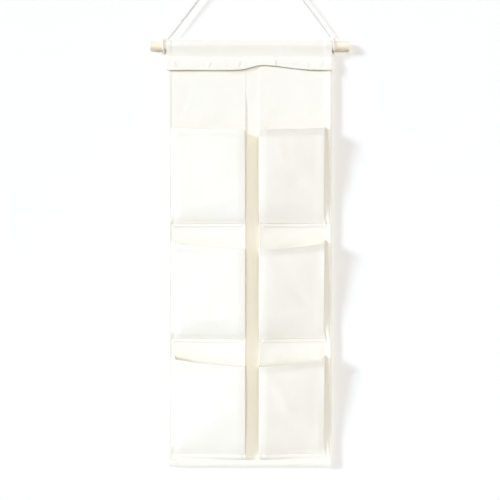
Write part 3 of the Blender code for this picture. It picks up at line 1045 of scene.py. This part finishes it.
def make_canvas(cloth):
    """Plain-woven cotton: crossing yarns, uneven yarns here and there, and a soft mottle.

    Where other cloth is near the colour is painted warmer and darker: painted shade, for the warm light
    cotton lets through.
    """
    tree, shader = new_material("woven_canvas")
    weave = add_node(tree, "ShaderNodeUVMap", {}, uv_map="Weave")[0]
    split = add_node(tree, "ShaderNodeSeparateXYZ", {0: weave})
    warp, weft = (
        add_math(tree, "SINE", add_math(tree, "MULTIPLY", split[axis], math.pi / cloth.yarn))
        for axis in "XY"
    )
    over = add_math(tree, "GREATER_THAN", add_math(tree, "MULTIPLY", warp, weft), 0.0)
    under = add_math(tree, "SUBTRACT", 1.0, over)
    above, below = (
        add_math(tree, "MULTIPLY", add_math(tree, "ABSOLUTE", yarn), seen)
        for yarn, seen in ((warp, over), (weft, under))
    )
    yarns = add_math(tree, "ADD", above, below)
    fine, coarse = SLUB_SCALES
    slubs = add_math(
        tree,
        "ADD",
        add_noise(tree, weave, scale=1.0, stretch=(fine, coarse, 1), detail=2.0),
        add_noise(tree, weave, scale=1.0, stretch=(coarse, fine, 1), detail=2.0),
    )
    mottle = add_noise(tree, weave, scale=MOTTLE_SCALE, stretch=(1, 1, 1), detail=6.0)
    worn = add_colours(tree, slubs, *SLUB_RANGE, shade(cloth.colour, SLUB_SHADE), cloth.colour)
    pale = add_colours(tree, mottle, *MOTTLE_RANGE, shade(cloth.colour, MOTTLE_SHADE), worn)
    woven = add_colours(tree, yarns, *WEAVE_RANGE, shade(cloth.colour, WEAVE_SHADE), pale)
    # Painted shade: by ambient occlusion the base colour turns to the warmer, darker fold shade where
    # other cloth is near, except on faces that turn to the wall
    reach = {"Distance": cloth.painted_shade_reach}
    sky = add_node(tree, "ShaderNodeAmbientOcclusion", reach, samples=PAINTED_SHADE_SAMPLES)["AO"]
    normal = add_node(tree, "ShaderNodeTexCoord", {})["Normal"]
    facing = add_node(tree, "ShaderNodeSeparateXYZ", {0: normal})["Y"]
    backward = add_math(tree, "GREATER_THAN", facing, BACK_FACING)
    shade_free = add_math(tree, "MAXIMUM", sky, backward)
    height = add_math(tree, "ADD", yarns, add_math(tree, "MULTIPLY", slubs, SLUB_HEIGHT))
    look = {
        "Base Color": add_colours(tree, shade_free, *PAINTED_SHADE_SKY, cloth.painted_fold_shade, woven),
        "Normal": add_bump(tree, height, *WEAVE_BUMP),
        "Roughness": 0.92,
        "Specular IOR Level": 0.25,
        "Sheen Weight": 0.12,
        "Sheen Roughness": 0.6,
    }
    set_inputs(tree, shader, look)


def make_cotton(name, colour, bump):
    """Twisted cotton: fine fibres that run along the strands."""
    tree, shader = new_material(name)
    weave = add_node(tree, "ShaderNodeUVMap", {}, uv_map="Weave")[0]
    fibres = add_noise(tree, weave, 1.0, (*FIBRE_SCALES, 1), 3.0, FIBRE_TURN)
    mottle = add_noise(tree, weave, 1.0, (*COTTON_SCALES, 1), 2.0)
    strands = add_colours(tree, fibres, *COTTON_RANGE, shade(colour, FIBRE_SHADE), colour)
    worn = shade(colour, COTTON_SHADE)
    look = {
        "Base Color": add_colours(tree, mottle, *COTTON_RANGE, worn, strands),
        "Normal": add_bump(tree, fibres, *bump),
        "Roughness": 0.9,
        "Specular IOR Level": 0.25,
        "Sheen Weight": 0.15,
    }
    set_inputs(tree, shader, look)


def make_wood(name, light, dark, along):
    """Bare sanded wood with its grain along one axis."""
    tree, shader = new_material(name)
    places = add_node(tree, "ShaderNodeTexCoord", {})["Object"]
    scales = [GRAIN_ALONG if axis == along else GRAIN_ACROSS for axis in "XYZ"]
    grain, broad, pores = (
        add_noise(tree, places, 1.0, tuple(value * finer for value in scales), detail)
        for finer, detail in ((1, 4.0), (1 / 5, 2.0), (4, 2.0))
    )
    ends = [mid_colour(dark, light, share) for share in GRAIN_MIDS]
    grain_range, broad_range, pore_range = GRAIN_RANGES
    body = add_colours(tree, grain, *grain_range, ends[0], light)
    body = add_colours(tree, broad, *broad_range, ends[1], body)
    look = {
        "Base Color": add_colours(tree, pores, *pore_range, dark, body),
        "Normal": add_bump(tree, grain, *GRAIN_BUMP),
        "Roughness": 0.55,
    }
    set_inputs(tree, shader, look)


class ORGANIZER_OT_materials(bpy.types.Operator):
    """Make the canvas, thread, cord and wood materials"""

    bl_idname = "organizer.materials"
    bl_label = "Materials"

    def execute(self, context):
        cloth, wood = context.scene.organizer_cloth, context.scene.organizer_wood
        make_canvas(cloth)
        make_cotton("sewing_thread", cloth.thread_colour, THREAD_BUMP)
        make_cotton("twisted_cotton", context.scene.organizer_cord.colour, CORD_BUMP)
        make_wood("bare_dowel", wood.dowel, wood.dowel_grain, "X")
        make_wood("bare_peg", wood.peg, wood.peg_grain, "Y")
        return {"FINISHED"}


# Stage


def add_seen(tree):
    """1 for what the camera sees, straight or in a shine or through glass, and 0 for light."""
    path = add_node(tree, "ShaderNodeLightPath", {})
    seen = add_math(tree, "MAXIMUM", path["Is Camera Ray"], path["Is Glossy Ray"])
    return add_math(tree, "MAXIMUM", seen, path["Is Transmission Ray"])


def add_shader_mix(tree, share, first, second):
    return add_node(tree, "ShaderNodeMixShader", {0: share, 1: first, 2: second})[0]


def make_paint(name, colour, glow):
    """A matt finish, lifted towards white, that can't be seen from behind."""
    tree, shader = new_material(name)
    look = {"Base Color": (*colour, 1), "Roughness": 1.0, "Specular IOR Level": 0.0}
    set_inputs(tree, shader, look)
    white = add_node(tree, "ShaderNodeEmission", {})[0]
    clear = add_node(tree, "ShaderNodeBsdfTransparent", {})[0]
    behind = add_node(tree, "ShaderNodeNewGeometry", {})["Backfacing"]
    share = add_math(tree, "MULTIPLY", add_seen(tree), glow)
    front = add_shader_mix(tree, share, shader.outputs[0], white)
    whole = add_shader_mix(tree, behind, front, clear)
    set_inputs(tree, tree.nodes["Material Output"], {"Surface": whole})


def add_plane(name, middle, turn, material):
    """A large square about its middle, turned about X."""
    mesh = bpy.data.meshes.new(name)
    plane = bmesh.new()
    bmesh.ops.create_grid(plane, x_segments=1, y_segments=1, size=STAGE_HALF)
    place = Matrix.Translation(middle) @ Matrix.Rotation(turn, 4, "X")
    bmesh.ops.transform(plane, matrix=place, verts=plane.verts)
    plane.to_mesh(mesh)
    plane.free()
    mesh.materials.append(bpy.data.materials[material])
    piece = new_object(name, mesh)
    return piece


def add_lamp(name, strength, spread, colour):
    """A far lamp in its own direction, seen as a disc spread radians wide."""
    lamp = bpy.data.lights.new(f"{name}_light", "SUN")
    lamp.energy = strength
    lamp.color = colour
    lamp.angle = spread
    holder = new_object(lamp.name, lamp)
    towards = Vector(LAMP_DIRECTIONS[name])
    holder.rotation_euler = towards.to_track_quat("Z", "Y").to_euler()
    return holder


def shine_past(lamp, *pieces):
    """Lets a lamp shine past stage pieces, and light none of them."""
    passed = bpy.data.collections.new(f"{lamp.name}_passes")
    for piece in pieces:
        passed.objects.link(piece)
    for entry in passed.collection_objects:
        entry.light_linking.link_state = "EXCLUDE"
    lamp.light_linking.blocker_collection = passed
    lamp.light_linking.receiver_collection = passed


class ORGANIZER_OT_stage(bpy.types.Operator):
    """Add the camera, the lamps, the wall and the floor"""

    bl_idname = "organizer.stage"
    bl_label = "Stage"

    def execute(self, context):
        stage = context.scene.organizer_stage
        camera = new_object("camera", bpy.data.cameras.new("camera"))
        camera.location = (stage.view_x, -stage.camera_distance, stage.view_z)
        camera.rotation_euler = (math.pi / 2, 0, 0)
        camera.data.lens = camera.data.sensor_width * stage.camera_distance / stage.view_width
        context.scene.camera = camera

        add_lamp("window", stage.key_strength, stage.key_spread, stage.daylight)
        add_lamp("front", stage.front_strength, stage.front_spread, stage.front_colour)
        behind = add_lamp("back", stage.back_strength, stage.back_spread, stage.back_colour)

        make_paint("wall_paint", stage.wall, stage.wall_glow)
        middle = Vector((0, WALL_Y, stage.floor_z + STAGE_HALF))
        wall = add_plane("wall", middle, math.pi / 2, "wall_paint")
        make_paint("floor_paint", stage.floor, stage.floor_glow)
        middle = Vector((0, WALL_Y - STAGE_HALF, stage.floor_z))
        floor = add_plane("floor", middle, 0, "floor_paint")
        shine_past(behind, wall, floor)

        self.light_room(context, stage)
        context.scene.view_settings.view_transform = "Standard"
        return {"FINISHED"}

    def light_room(self, context, stage):
        """Even light that changes from the window side to the far side, behind plain white."""
        world = bpy.data.worlds.new("room")
        world.use_nodes = True
        context.scene.world = world
        tree = world.node_tree
        light = tree.nodes["Background"]
        way = add_node(tree, "ShaderNodeTexCoord", {})["Generated"]
        across = add_node(tree, "ShaderNodeSeparateXYZ", {0: way})["X"]
        sides = (tuple(stage.near_window), tuple(stage.far_from_window))
        set_inputs(tree, light, {"Color": add_colours(tree, across, *ROOM_SHARES, *sides)})
        white = add_node(tree, "ShaderNodeBackground", {"Color": (1, 1, 1, 1)})[0]
        whole = add_shader_mix(tree, add_seen(tree), light.outputs[0], white)
        set_inputs(tree, tree.nodes["World Output"], {"Surface": whole})


# Cord, knots and hitches


def knot_places(middle):
    """A tight overhand knot as a closed curve about its middle."""
    places = []
    for share in shares(KNOT_STEPS):
        turn = 2 * math.pi * share
        x = math.sin(turn) + 2 * math.sin(2 * turn)
        y = -math.sin(3 * turn)
        z = math.cos(turn) - 2 * math.cos(2 * turn)
        away = Vector(value * stretch for value, stretch in zip((x, y, z), KNOT_STRETCH))
        places.append(Vector(middle) + away * KNOT_RADIUS / 3)
    return places


def hitch_places(side, name, diameter):
    """The loop round one end of the dowel, open on top where its knot sits."""
    middle = DOWEL_RADIUS + 3 * GAP + diameter / 2
    sleeve_end = MIDDLE_X + side * HALF_PANEL
    places = []
    for share in shares(HITCH_STEPS):
        turn = mix(HITCH_OPENING / 2, 2 * math.pi - HITCH_OPENING / 2, share)
        bow = HITCH_BOWS[name] * ((1 + math.sin(turn)) / 2) ** HITCH_BOW_POWER
        outward = HITCH_REACHES[name] + bow + HITCH_LEANS[name] * (1 - math.cos(turn)) / 2
        x = sleeve_end + side * outward
        places.append(Vector((x, -middle * math.sin(turn), middle * math.cos(turn) + DOWEL_Z)))
    return places


class ORGANIZER_OT_cord(bpy.types.Operator):
    """Add the cord over its peg, its knots and its loops round the dowel"""

    bl_idname = "organizer.cord"
    bl_label = "Cord"

    def execute(self, context):
        sizes = context.scene.organizer_cord
        look = (sizes.diameter, sizes.lay, sizes.strands, CORD_SIDES)
        places = smooth_route(CORD_ROUTE, sizes.step)
        cord = twisted_cord("hanging_cord", places, *look)
        ends = []
        for name, side in COLUMNS.items():
            hitch = twisted_cord(f"hitch_{name}", hitch_places(side, name, sizes.diameter), *look)
            route = knot_places(KNOT_PLACES[name])
            if name in KNOT_TAILS:
                route += smooth_route([route[-1], *map(Vector, KNOT_TAILS[name])], sizes.step)[1:]
            ends += [hitch, twisted_cord(f"knot_{name}", route, *KNOT_CORD)]
        return {"FINISHED"}


class ORGANIZER_OT_wood(bpy.types.Operator):
    """Give the dowel and the peg their wood"""

    bl_idname = "organizer.wood"
    bl_label = "Wood"

    def execute(self, context):
        for node, wood, slot_name in (
            ("dowel", "bare_dowel", "dowel_wood"),
            ("hanging_peg", "bare_peg", "peg_wood"),
        ):
            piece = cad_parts[node]
            for slot in piece.material_slots:
                slot.material = bpy.data.materials[wood]
        return {"FINISHED"}


# Header


def sleeve_path(flap_depth, thickness):
    """Outer face of the sleeve as (y, z) places, from its front seam over to its back one."""
    radius = DOWEL_RADIUS + GAP + thickness
    drop = DOWEL_Z - SEAM_Z

    def touch(y, turn):
        return math.atan2(-drop, y) + turn * math.acos(radius / math.hypot(y, drop))

    front, back = touch(-flap_depth, -1) + 2 * math.pi, touch(thickness, 1)
    arc = [mix(front, back, share) for share in shares(SLEEVE_ARC_STEPS)]
    round_it = [(radius * math.cos(turn), radius * math.sin(turn) + DOWEL_Z) for turn in arc]
    (first_y, first_z), (last_y, last_z) = round_it[0], round_it[-1]
    steps = shares(SLEEVE_SIDE_STEPS)
    fronts = [
        (mix(-flap_depth, first_y, share**SLEEVE_FRONT_BOW), mix(SEAM_Z, first_z, share))
        for share in steps[:-1]
    ]
    backs = [(mix(last_y, thickness, share), mix(last_z, SEAM_Z, share)) for share in steps[1:]]
    return fronts + round_it + backs


class ORGANIZER_OT_header(bpy.types.Operator):
    """Add the sleeve round the dowel and the loose flap under it"""

    bl_idname = "organizer.header"
    bl_label = "Header"

    def execute(self, context):
        cloth = context.scene.organizer_cloth
        self.add_sleeve(cloth)
        self.add_flap(cloth)
        return {"FINISHED"}

    def add_sleeve(self, cloth):
        path = sleeve_path(FLAP_DEPTH, cloth.thickness)
        left = MIDDLE_X - HALF_PANEL - SLEEVE_OVERHANGS[0]
        right = MIDDLE_X + HALF_PANEL + SLEEVE_OVERHANGS[1]
        wide = right - left
        lengths = [0.0]
        for before, after in zip(path, path[1:]):
            lengths.append(lengths[-1] + math.dist(before, after))
        around = lengths[-1]

        def place(across, up):
            y, z = (
                float(np.interp(up * around, lengths, [point[axis] for point in path]))
                for axis in (0, 1)
            )
            x = mix(left, right, across)
            free = ease(up / SLEEVE_SEAM_SHARE) * ease((1 - up) / SLEEVE_SEAM_SHARE)
            soft = sum(crumple(x, up * around, *waves) for waves in SLEEVE_SOFT)
            swell = cloth.crumple * free * (SLEEVE_EVEN + soft)
            for width, end in zip(SLEEVE_HEM_WIDTHS, (across, 1 - across)):
                hem = 1 - ease((end * wide - width) / SLEEVE_HEM_EDGE)
                swell += SLEEVE_HEM * hem * ease(up / SLEEVE_HEM_START)
            from_axis = Vector((0, y, z - DOWEL_Z)).normalized() * max(0.0, swell)
            return (x, y + from_axis.y, z + from_axis.z)

        marks = []
        for width, end in zip(SLEEVE_HEM_WIDTHS, (0, 1)):
            for step in (0, 0.5, 1):
                marks.append(abs(end - (width + SLEEVE_HEM_EDGE * step) / wide))
        flat = (wide, around)
        piece = add_cloth("header_sleeve", place, cloth.thickness, flat, STRIP_STEPS, marks=marks)

    def add_flap(self, cloth):
        left, right = -HALF_PANEL - FLAP_OVERHANGS[0], HALF_PANEL + FLAP_OVERHANGS[1]
        wide = right - left

        def place(across, up):
            x = mix(left, right, across)
            down = 1 - up
            reach = FLAP_NOTCH_LEFT if x < FLAP_NOTCH_X else FLAP_NOTCH_RIGHT
            notch = FLAP_NOTCH * math.exp(-(((x - FLAP_NOTCH_X) / reach) ** 2))
            wave = FLAP_WAVE * math.sin(2 * math.pi * FLAP_WAVES * across)
            bulge = FLAP_BULGE * math.sin(math.pi * min(1.0, down / FLAP_BULGE_SHARE))
            bulge *= ease(down / FLAP_BULGE_START)
            height = SEAM_Z - GAP - (FLAP_HEIGHT - GAP - notch) * down
            pucker = 0.0
            for index, middle in enumerate(FLAP_PUCKERS):
                tilt = PUCKER_TILTS[index % 2]
                spread, sizing = (math.sin(turn * index) for turn in PUCKER_TURNS)
                centre = (middle, SEAM_Z - PUCKER_DROP + PUCKER_SPREAD * spread)
                size = PUCKER_EVEN + (1 - PUCKER_EVEN) * sizing
                pucker += size * hump(x, height, centre, PUCKER_REACH, tilt)
                beside = x - PUCKER_DIP_SHIFT
                pucker -= PUCKER_DIP * size * hump(beside, height, centre, PUCKER_REACH, tilt)
            below = SEAM_Z - height - CREASE_DROP
            crease = CREASE_DEPTH * math.exp(-((below / CREASE_REACH) ** 2))
            crease *= CREASE_EVEN + crumple(x, 0.0, *CREASE_SOFT)
            soft = crumple(x, height, *FLAP_SOFT) * cloth.crumple * FLAP_SOFT_SHARE
            soft *= ease(down * FLAP_SOFT_START)
            depth = FLAP_DEPTH + (FLAP_PROUD + wave) * down + bulge + soft - crease
            rolled = ease((down - FLAP_ROLL_START) / (1 - FLAP_ROLL_START))
            depth += PUCKER_HEIGHT * pucker - FLAP_ROLL * rolled
            return (MIDDLE_X + x, -depth, height)

        def thick(across, up):
            rolled = 1 - ease(up * FLAP_HEIGHT / FLAP_HEM_ROLL)
            return mix(cloth.thickness, cloth.hem_thickness, rolled)

        flat = (wide, FLAP_HEIGHT)
        top = Vector((MIDDLE_X, -FLAP_DEPTH, SEAM_Z))
        bend = ("cloth", "flap", top, top - Vector((0, 0, FLAP_BEND)))
        piece = add_cloth("header_flap", place, thick, flat, FLAP_STEPS, bend)


# Panel and columns


class ORGANIZER_OT_panel(bpy.types.Operator):
    """Add the back panel, its side hems and its bottom hem"""

    bl_idname = "organizer.panel"
    bl_label = "Panel"

    def execute(self, context):
        cloth = context.scene.organizer_cloth
        top = SEAM_Z - GAP
        left, right = MIDDLE_X - HALF_PANEL, MIDDLE_X + HALF_PANEL

        def panel(across, up):
            x, z = mix(left, right, across), mix(BOTTOM_Z, top, up)
            free = free_share(across, up, *PANEL_SEAMS)
            soft = cloth.crumple * PANEL_SOFT_SHARE * free * crumple(x, z, *PANEL_SOFT)
            beside = x - MIDDLE_X - GUTTER_SHIFT
            inside = GUTTER_WIDTH / 2 - abs(beside) + (GUTTER_LAP if beside < 0 else 0.0)
            rise = GUTTER_RISE * ease(inside / GUTTER_MARGIN)
            rise *= ease((z - FOLD_PRESS_Z) / FOLD_PRESS_REACH)
            soft *= 1 - rise / GUTTER_RISE
            return (x, soft - edge_curl(x, z) - rise + bottom_turn(z), z)

        flat = (right - left, top - BOTTOM_Z)
        marks = []
        for side in COLUMNS.values():
            fold = (MIDDLE_X + fold_x(side) - left) / flat[0]
            margin = GUTTER_MARGIN / flat[0]
            marks += [fold - side * margin * step for step in GUTTER_MARKS]
        piece = add_cloth("back_panel", panel, cloth.thickness, flat, PANEL_STEPS, marks=marks)

        low, high = (left, BOTTOM_Z), (right, HEM_TOP_Z)
        bands = [self.add_band("bottom_hem", low, high, 0, cloth.hem_thickness, cloth)]
        for name, side in COLUMNS.items():
            outer = MIDDLE_X + side * HALF_PANEL
            inner = MIDDLE_X + side * (HEM_INNER - HEM_LIPS[name])
            low, high = (min(outer, inner), HEM_TOP_Z + GAP), (max(outer, inner), top)
            deep = cloth.thickness + SIDE_HEM_STEP
            bands.append(self.add_band(f"side_hem_{name}", low, high, side, deep, cloth))
        return {"FINISHED"}

    def add_band(self, name, low, high, side, deep, cloth):
        """A folded strip sewn flat to the panel. One at a side has a lip over its column."""
        flat = (high[0] - low[0], high[1] - low[1])

        def place(across, up):
            x, z = mix(low[0], high[0], across), mix(low[1], high[1], up)
            middle = math.sin(math.pi * clamp(across if side else up))
            swell = BAND_SWELL * cloth.crumple * middle * (1 + crumple(x, z, *BAND_SOFT))
            depth = GAP + deep + swell + edge_curl(x, z) - bottom_turn(z)
            if side:
                outward = side * (x - MIDDLE_X) - HEM_INNER
                depth -= HEM_LIP_DROPS[side] * (1 - ease(outward / HEM_DROP_REACH))
            return (x, -depth, z)

        def thick(across, up):
            if not side:
                return deep
            outward = side * (mix(low[0], high[0], across) - MIDDLE_X) - HEM_INNER
            return mix(HEM_LIP_THICKNESS, deep, ease(outward / HEM_LIP_TAPER))

        return add_cloth(name, place, thick, flat, SIDE_HEM_STEPS if side else STRIP_STEPS)


class ORGANIZER_OT_columns(bpy.types.Operator):
    """Add the front cloth of both columns and the gussets beside the gutter"""

    bl_idname = "organizer.columns"
    bl_label = "Columns"

    def execute(self, context):
        cloth = context.scene.organizer_cloth
        for name, side in COLUMNS.items():
            self.add_column(name, side, cloth)
        return {"FINISHED"}

    def add_column(self, name, side, cloth):
        low, high = HEM_TOP_Z + GAP, SEAM_Z - GAP
        tall = high - low
        wide = abs(column_x(side, 1) - column_x(side, 0))

        def panel(across, up):
            x, z = column_x(side, across), mix(low, high, up)
            near = min(abs(z - foot) for foot in FOOT_ZS)
            free = free_share(across, up, *COLUMN_SEAMS) * ease(near / FOOT_SEAM_REACH)
            size, seed = COLUMN_SOFT
            soft = crumple(x + COLUMN_SLANT * z, z, size, side + seed)
            soft += COLUMN_FINE_SHARE * crumple(x, z, COLUMN_FINE_SIZE, side)
            soft *= cloth.crumple
            for middle_x, middle_z, reach, along, turn, height in HEADER_FOLDS[name]:
                tilt = math.radians(turn)
                soft += height * hump(x, z, (middle_x, middle_z), (reach, along), tilt)
            depth = column_depth(side, across, z, cloth.thickness)
            return (x, -depth - free * max(soft, -COLUMN_DIP_SHARE * cloth.thickness), z)

        def thick(across, up):
            return cloth.thickness * (1 - pressed(side, across, mix(low, high, up)))

        def gusset(across, up):
            z = mix(low, high, up)
            x = column_x(side, 1)
            size, seed = GUSSET_SOFT
            soft = cloth.crumple * GUSSET_SOFT_SHARE * crumple(z, across, size, side + seed)
            soft *= math.sin(math.pi * across)
            deep = max(fold_depth(side, z), GUSSET_LEAST)
            return (x - side * max(0.0, soft), -mix(deep, GAP, across), z)

        flat, node = (wide, tall), f"column_panel_{name}"
        place, thickness = from_left(side, panel), from_left(side, thick)
        piece = add_cloth(node, place, thickness, flat, COLUMN_STEPS)
        flat, node = (FOLD_DEPTH, tall), f"column_gusset_{name}"
        place = from_left(side, gusset)
        add_folded(node, place, cloth.thickness, flat, COLUMN_STEPS, "cloth")


# Pockets


class ORGANIZER_OT_pockets(bpy.types.Operator):
    """Add the six pockets: fronts, gussets and stitched foot bands"""

    bl_idname = "organizer.pockets"
    bl_label = "Pockets"

    def execute(self, context):
        cloth = context.scene.organizer_cloth
        for row in range(len(ROWS)):
            for column, side in COLUMNS.items():
                self.add_pocket(row, column, side, cloth)
        return {"FINISHED"}

    def add_pocket(self, row, column, side, cloth):
        pocket = Pocket(side, row, cloth)
        name = f"{ROWS[row]}_{column}"
        bend = pocket_bend(side, row, column)

        def thick(across, up):
            return cloth.thickness + pocket.hem(up) * MOUTH_THICKENING

        flat, node = (pocket.width, POCKET_HEIGHT), f"pocket_front_{name}"
        place = from_left(side, pocket.front)
        piece = add_cloth(node, place, thick, flat, POCKET_STEPS, bend)
        band = self.add_foot_band(name, side, row, cloth)

        for node, place, deep, steps in (
            ("outer_gusset", from_left(-side, pocket.outer_gusset), MOUTH_DEPTH_OUTER, POCKET_STEPS),
            ("inner_gusset", from_left(side, pocket.inner_gusset), MOUTH_DEPTH_INNER, INNER_GUSSET_STEPS),
        ):
            flat = (deep, POCKET_HEIGHT)
            add_folded(f"{node}_{name}", place, cloth.thickness, flat, steps, bend)

    def add_foot_band(self, name, side, row, cloth):
        outer = MIDDLE_X + side * (POCKET_OUTER + FOOT_FLARE)
        inner = column_x(side, 1) + side * FOOT_BAND_INSET

        def place(across, up):
            x, z = mix(outer, inner, across), FOOT_ZS[row] + FOOT_BAND_HEIGHT * up
            depth = column_depth(side, column_share(side, x), z, cloth.thickness) + GAP
            swell = BAND_SWELL * cloth.crumple * math.sin(math.pi * clamp(up))
            swell *= 1 + crumple(x, z, *FOOT_BAND_SOFT)
            return (x, -depth - cloth.thickness - swell, z)

        flat = (abs(outer - inner), FOOT_BAND_HEIGHT)
        face = from_left(side, place)
        return add_cloth(f"foot_band_{name}", face, cloth.thickness, flat, STRIP_STEPS)


# Stitches


def stitch_tree(material):
    """Geometry nodes that lay stitches along every line of a mesh."""
    tree = bpy.data.node_groups.new("Stitch rows", "GeometryNodeTree")
    face = tree.interface
    face.new_socket("Lines", in_out="INPUT", socket_type="NodeSocketGeometry")
    for name in ("Stitch length", "Stitch pitch", "Thread radius"):
        face.new_socket(name, in_out="INPUT", socket_type="NodeSocketFloat")
    face.new_socket("Stitches", in_out="OUTPUT", socket_type="NodeSocketGeometry")
    start = add_node(tree, "NodeGroupInput", {})
    curve = add_node(tree, "GeometryNodeMeshToCurve", {"Mesh": start["Lines"]})["Curve"]
    values = {"Curve": curve, "Length": start["Stitch pitch"]}
    spread = add_node(tree, "GeometryNodeResampleCurve", values, mode="LENGTH")["Curve"]
    tangent = add_node(tree, "GeometryNodeInputTangent", {})[0]
    turn = add_node(tree, "FunctionNodeAlignRotationToVector", {"Vector": tangent}, axis="X")[0]
    segments, rings = STITCH_FACES
    values = {"Radius": 1.0, "Segments": segments, "Rings": rings}
    ball = add_node(tree, "GeometryNodeMeshUVSphere", values)["Mesh"]
    half, radius = add_math(tree, "MULTIPLY", start["Stitch length"], 0.5), start["Thread radius"]
    size = add_node(tree, "ShaderNodeCombineXYZ", {"X": half, "Y": radius, "Z": radius})[0]
    values = {"Points": spread, "Instance": ball, "Rotation": turn, "Scale": size}
    lay = add_node(tree, "GeometryNodeInstanceOnPoints", values)["Instances"]
    real = add_node(tree, "GeometryNodeRealizeInstances", {"Geometry": lay})["Geometry"]
    smooth = add_node(tree, "GeometryNodeSetShadeSmooth", {0: real})[0]
    values = {"Geometry": smooth, "Material": material}
    paint = add_node(tree, "GeometryNodeSetMaterial", values)["Geometry"]
    add_node(tree, "NodeGroupOutput", {"Stitches": paint})
    return tree


def lay_stitches(name, lines, tree, cloth):
    """One plain mesh of stitches along lines of places."""
    mesh = bpy.data.meshes.new(f"{name}_lines")
    points, edges = [], []
    for line in lines:
        first = len(points)
        points += [tuple(place) for place in line]
        edges += [(first + index, first + index + 1) for index in range(len(line) - 1)]
    mesh.from_pydata(points, edges, [])
    holder = new_object(f"{name}_lines", mesh)
    modifier = holder.modifiers.new("Stitches", "NODES")
    modifier.node_group = tree
    values = {
        "Stitch length": cloth.stitch_length,
        "Stitch pitch": cloth.stitch_pitch,
        "Thread radius": cloth.stitch_radius,
    }
    for item in tree.interface.items_tree:
        if item.name in values:
            modifier[item.identifier] = values[item.name]
    seen = holder.evaluated_get(bpy.context.evaluated_depsgraph_get())
    made = bpy.data.meshes.new_from_object(seen)
    made.name = name
    bpy.data.objects.remove(holder)
    if not made.polygons:
        raise RuntimeError(f"{name} has no stitches")
    return new_object(name, made)


def line_along(place, start, end, count, lift):
    """Places from one (across, up) pair to another on a surface, lifted off it a little."""
    places = []
    for share in shares(count):
        x, y, z = place(mix(start[0], end[0], share), mix(start[1], end[1], share))
        places.append((x, y - lift, z))
    return places


class ORGANIZER_OT_stitches(bpy.types.Operator):
    """Sew the side hems, the bottom hem and the pockets"""

    bl_idname = "organizer.stitches"
    bl_label = "Stitches"

    def execute(self, context):
        cloth = context.scene.organizer_cloth
        tree = stitch_tree(bpy.data.materials["sewing_thread"])
        lift = cloth.stitch_radius * STITCH_LIFT
        left, right = MIDDLE_X - HALF_PANEL, MIDDLE_X + HALF_PANEL
        side_front = -(GAP + cloth.thickness + SIDE_HEM_STEP) - lift
        inset = (HALF_PANEL - HEM_INNER) * SIDE_ROW_SHARE
        top = SEAM_Z - FLAP_HEIGHT * SIDE_ROW_TOP
        heights = [mix(HEM_TOP_Z, top, share) for share in shares(ROW_STEPS)]
        sewn = [
            [(x, side_front - edge_curl(x, z), z) for z in heights]
            for x in (left + inset, right - inset)
        ]
        front = -(GAP + cloth.hem_thickness) - lift - cloth.crumple * HEM_ROW_SWELL
        high = HEM_TOP_Z - HEM_ROW_DROP
        sewn.append([(x, front, high) for x in (left + HEM_ROW_INSET, right - HEM_ROW_INSET)])
        for row in range(len(ROWS)):
            for column, side in COLUMNS.items():
                sewn.append(self.sew_pocket(row, column, side, cloth, tree, lift))
        piece = lay_stitches("stitches_cloth", sewn, tree, cloth)
        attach(piece, "cloth")
        return {"FINISHED"}

    def sew_pocket(self, row, column, side, cloth, tree, lift):
        """Sews a pocket's mouth, and gives the line along its foot."""
        pocket = Pocket(side, row, cloth)
        outer_inset, inner_inset = FOOT_ROW_INSETS
        outer = MIDDLE_X + side * (POCKET_OUTER + FOOT_FLARE - outer_inset)
        inner = column_x(side, 1) + side * (FOOT_BAND_INSET + inner_inset)
        height = FOOT_ZS[row] + FOOT_BAND_HEIGHT + GAP / 2
        foot = []
        for share in shares(FOOT_ROW_STEPS):
            x = mix(outer, inner, share)
            depth = column_depth(side, column_share(side, x), height, cloth.thickness) + GAP
            foot.append((x, -depth - cloth.thickness - lift, height))
        low = 1 - (cloth.mouth_hem - MOUTH_ROW_DROP) / POCKET_HEIGHT
        start, end = ((across, low) for across in MOUTH_ROW_ENDS)
        mouth = line_along(pocket.front, start, end, ROW_STEPS, lift)
        piece = lay_stitches(f"stitches_{ROWS[row]}_{column}", [mouth], tree, cloth)
        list(pocket_bend(side, row, column))
        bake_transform(piece)
        return foot


class ORGANIZER_PT_panel(bpy.types.Panel):
    """Sizes, colours and pieces of the organizer"""

    bl_idname = "ORGANIZER_PT_panel"
    bl_label = "Organizer"
    bl_space_type = "VIEW_3D"
    bl_region_type = "UI"
    bl_category = "Organizer"

    def draw(self, context):
        for name, group in GROUPS.items():
            box = self.layout.box()
            for value in group.__annotations__:
                box.prop(getattr(context.scene, name), value)
        for operator in OPERATORS:
            self.layout.operator(operator.bl_idname)


OPERATORS = (
    ORGANIZER_OT_materials,
    ORGANIZER_OT_stage,
    ORGANIZER_OT_cord,
    ORGANIZER_OT_wood,
    ORGANIZER_OT_header,
    ORGANIZER_OT_panel,
    ORGANIZER_OT_columns,
    ORGANIZER_OT_pockets,
    ORGANIZER_OT_stitches,
)


def register():
    for name, group in GROUPS.items():
        bpy.utils.register_class(group)
        setattr(bpy.types.Scene, name, PointerProperty(type=group))
    for operator in OPERATORS:
        bpy.utils.register_class(operator)
    bpy.utils.register_class(ORGANIZER_PT_panel)


def unregister():
    bpy.utils.unregister_class(ORGANIZER_PT_panel)
    for operator in reversed(OPERATORS):
        bpy.utils.unregister_class(operator)
    for name, group in GROUPS.items():
        delattr(bpy.types.Scene, name)
        bpy.utils.unregister_class(group)


def main():
    register()
    bpy.ops.organizer.materials()
    bpy.ops.organizer.stage()
    bpy.ops.organizer.cord()
    bpy.ops.organizer.wood()
    bpy.ops.organizer.header()
    bpy.ops.organizer.panel()
    bpy.ops.organizer.columns()
    bpy.ops.organizer.pockets()
    bpy.ops.organizer.stitches()


if __name__ == "__main__":
    main()
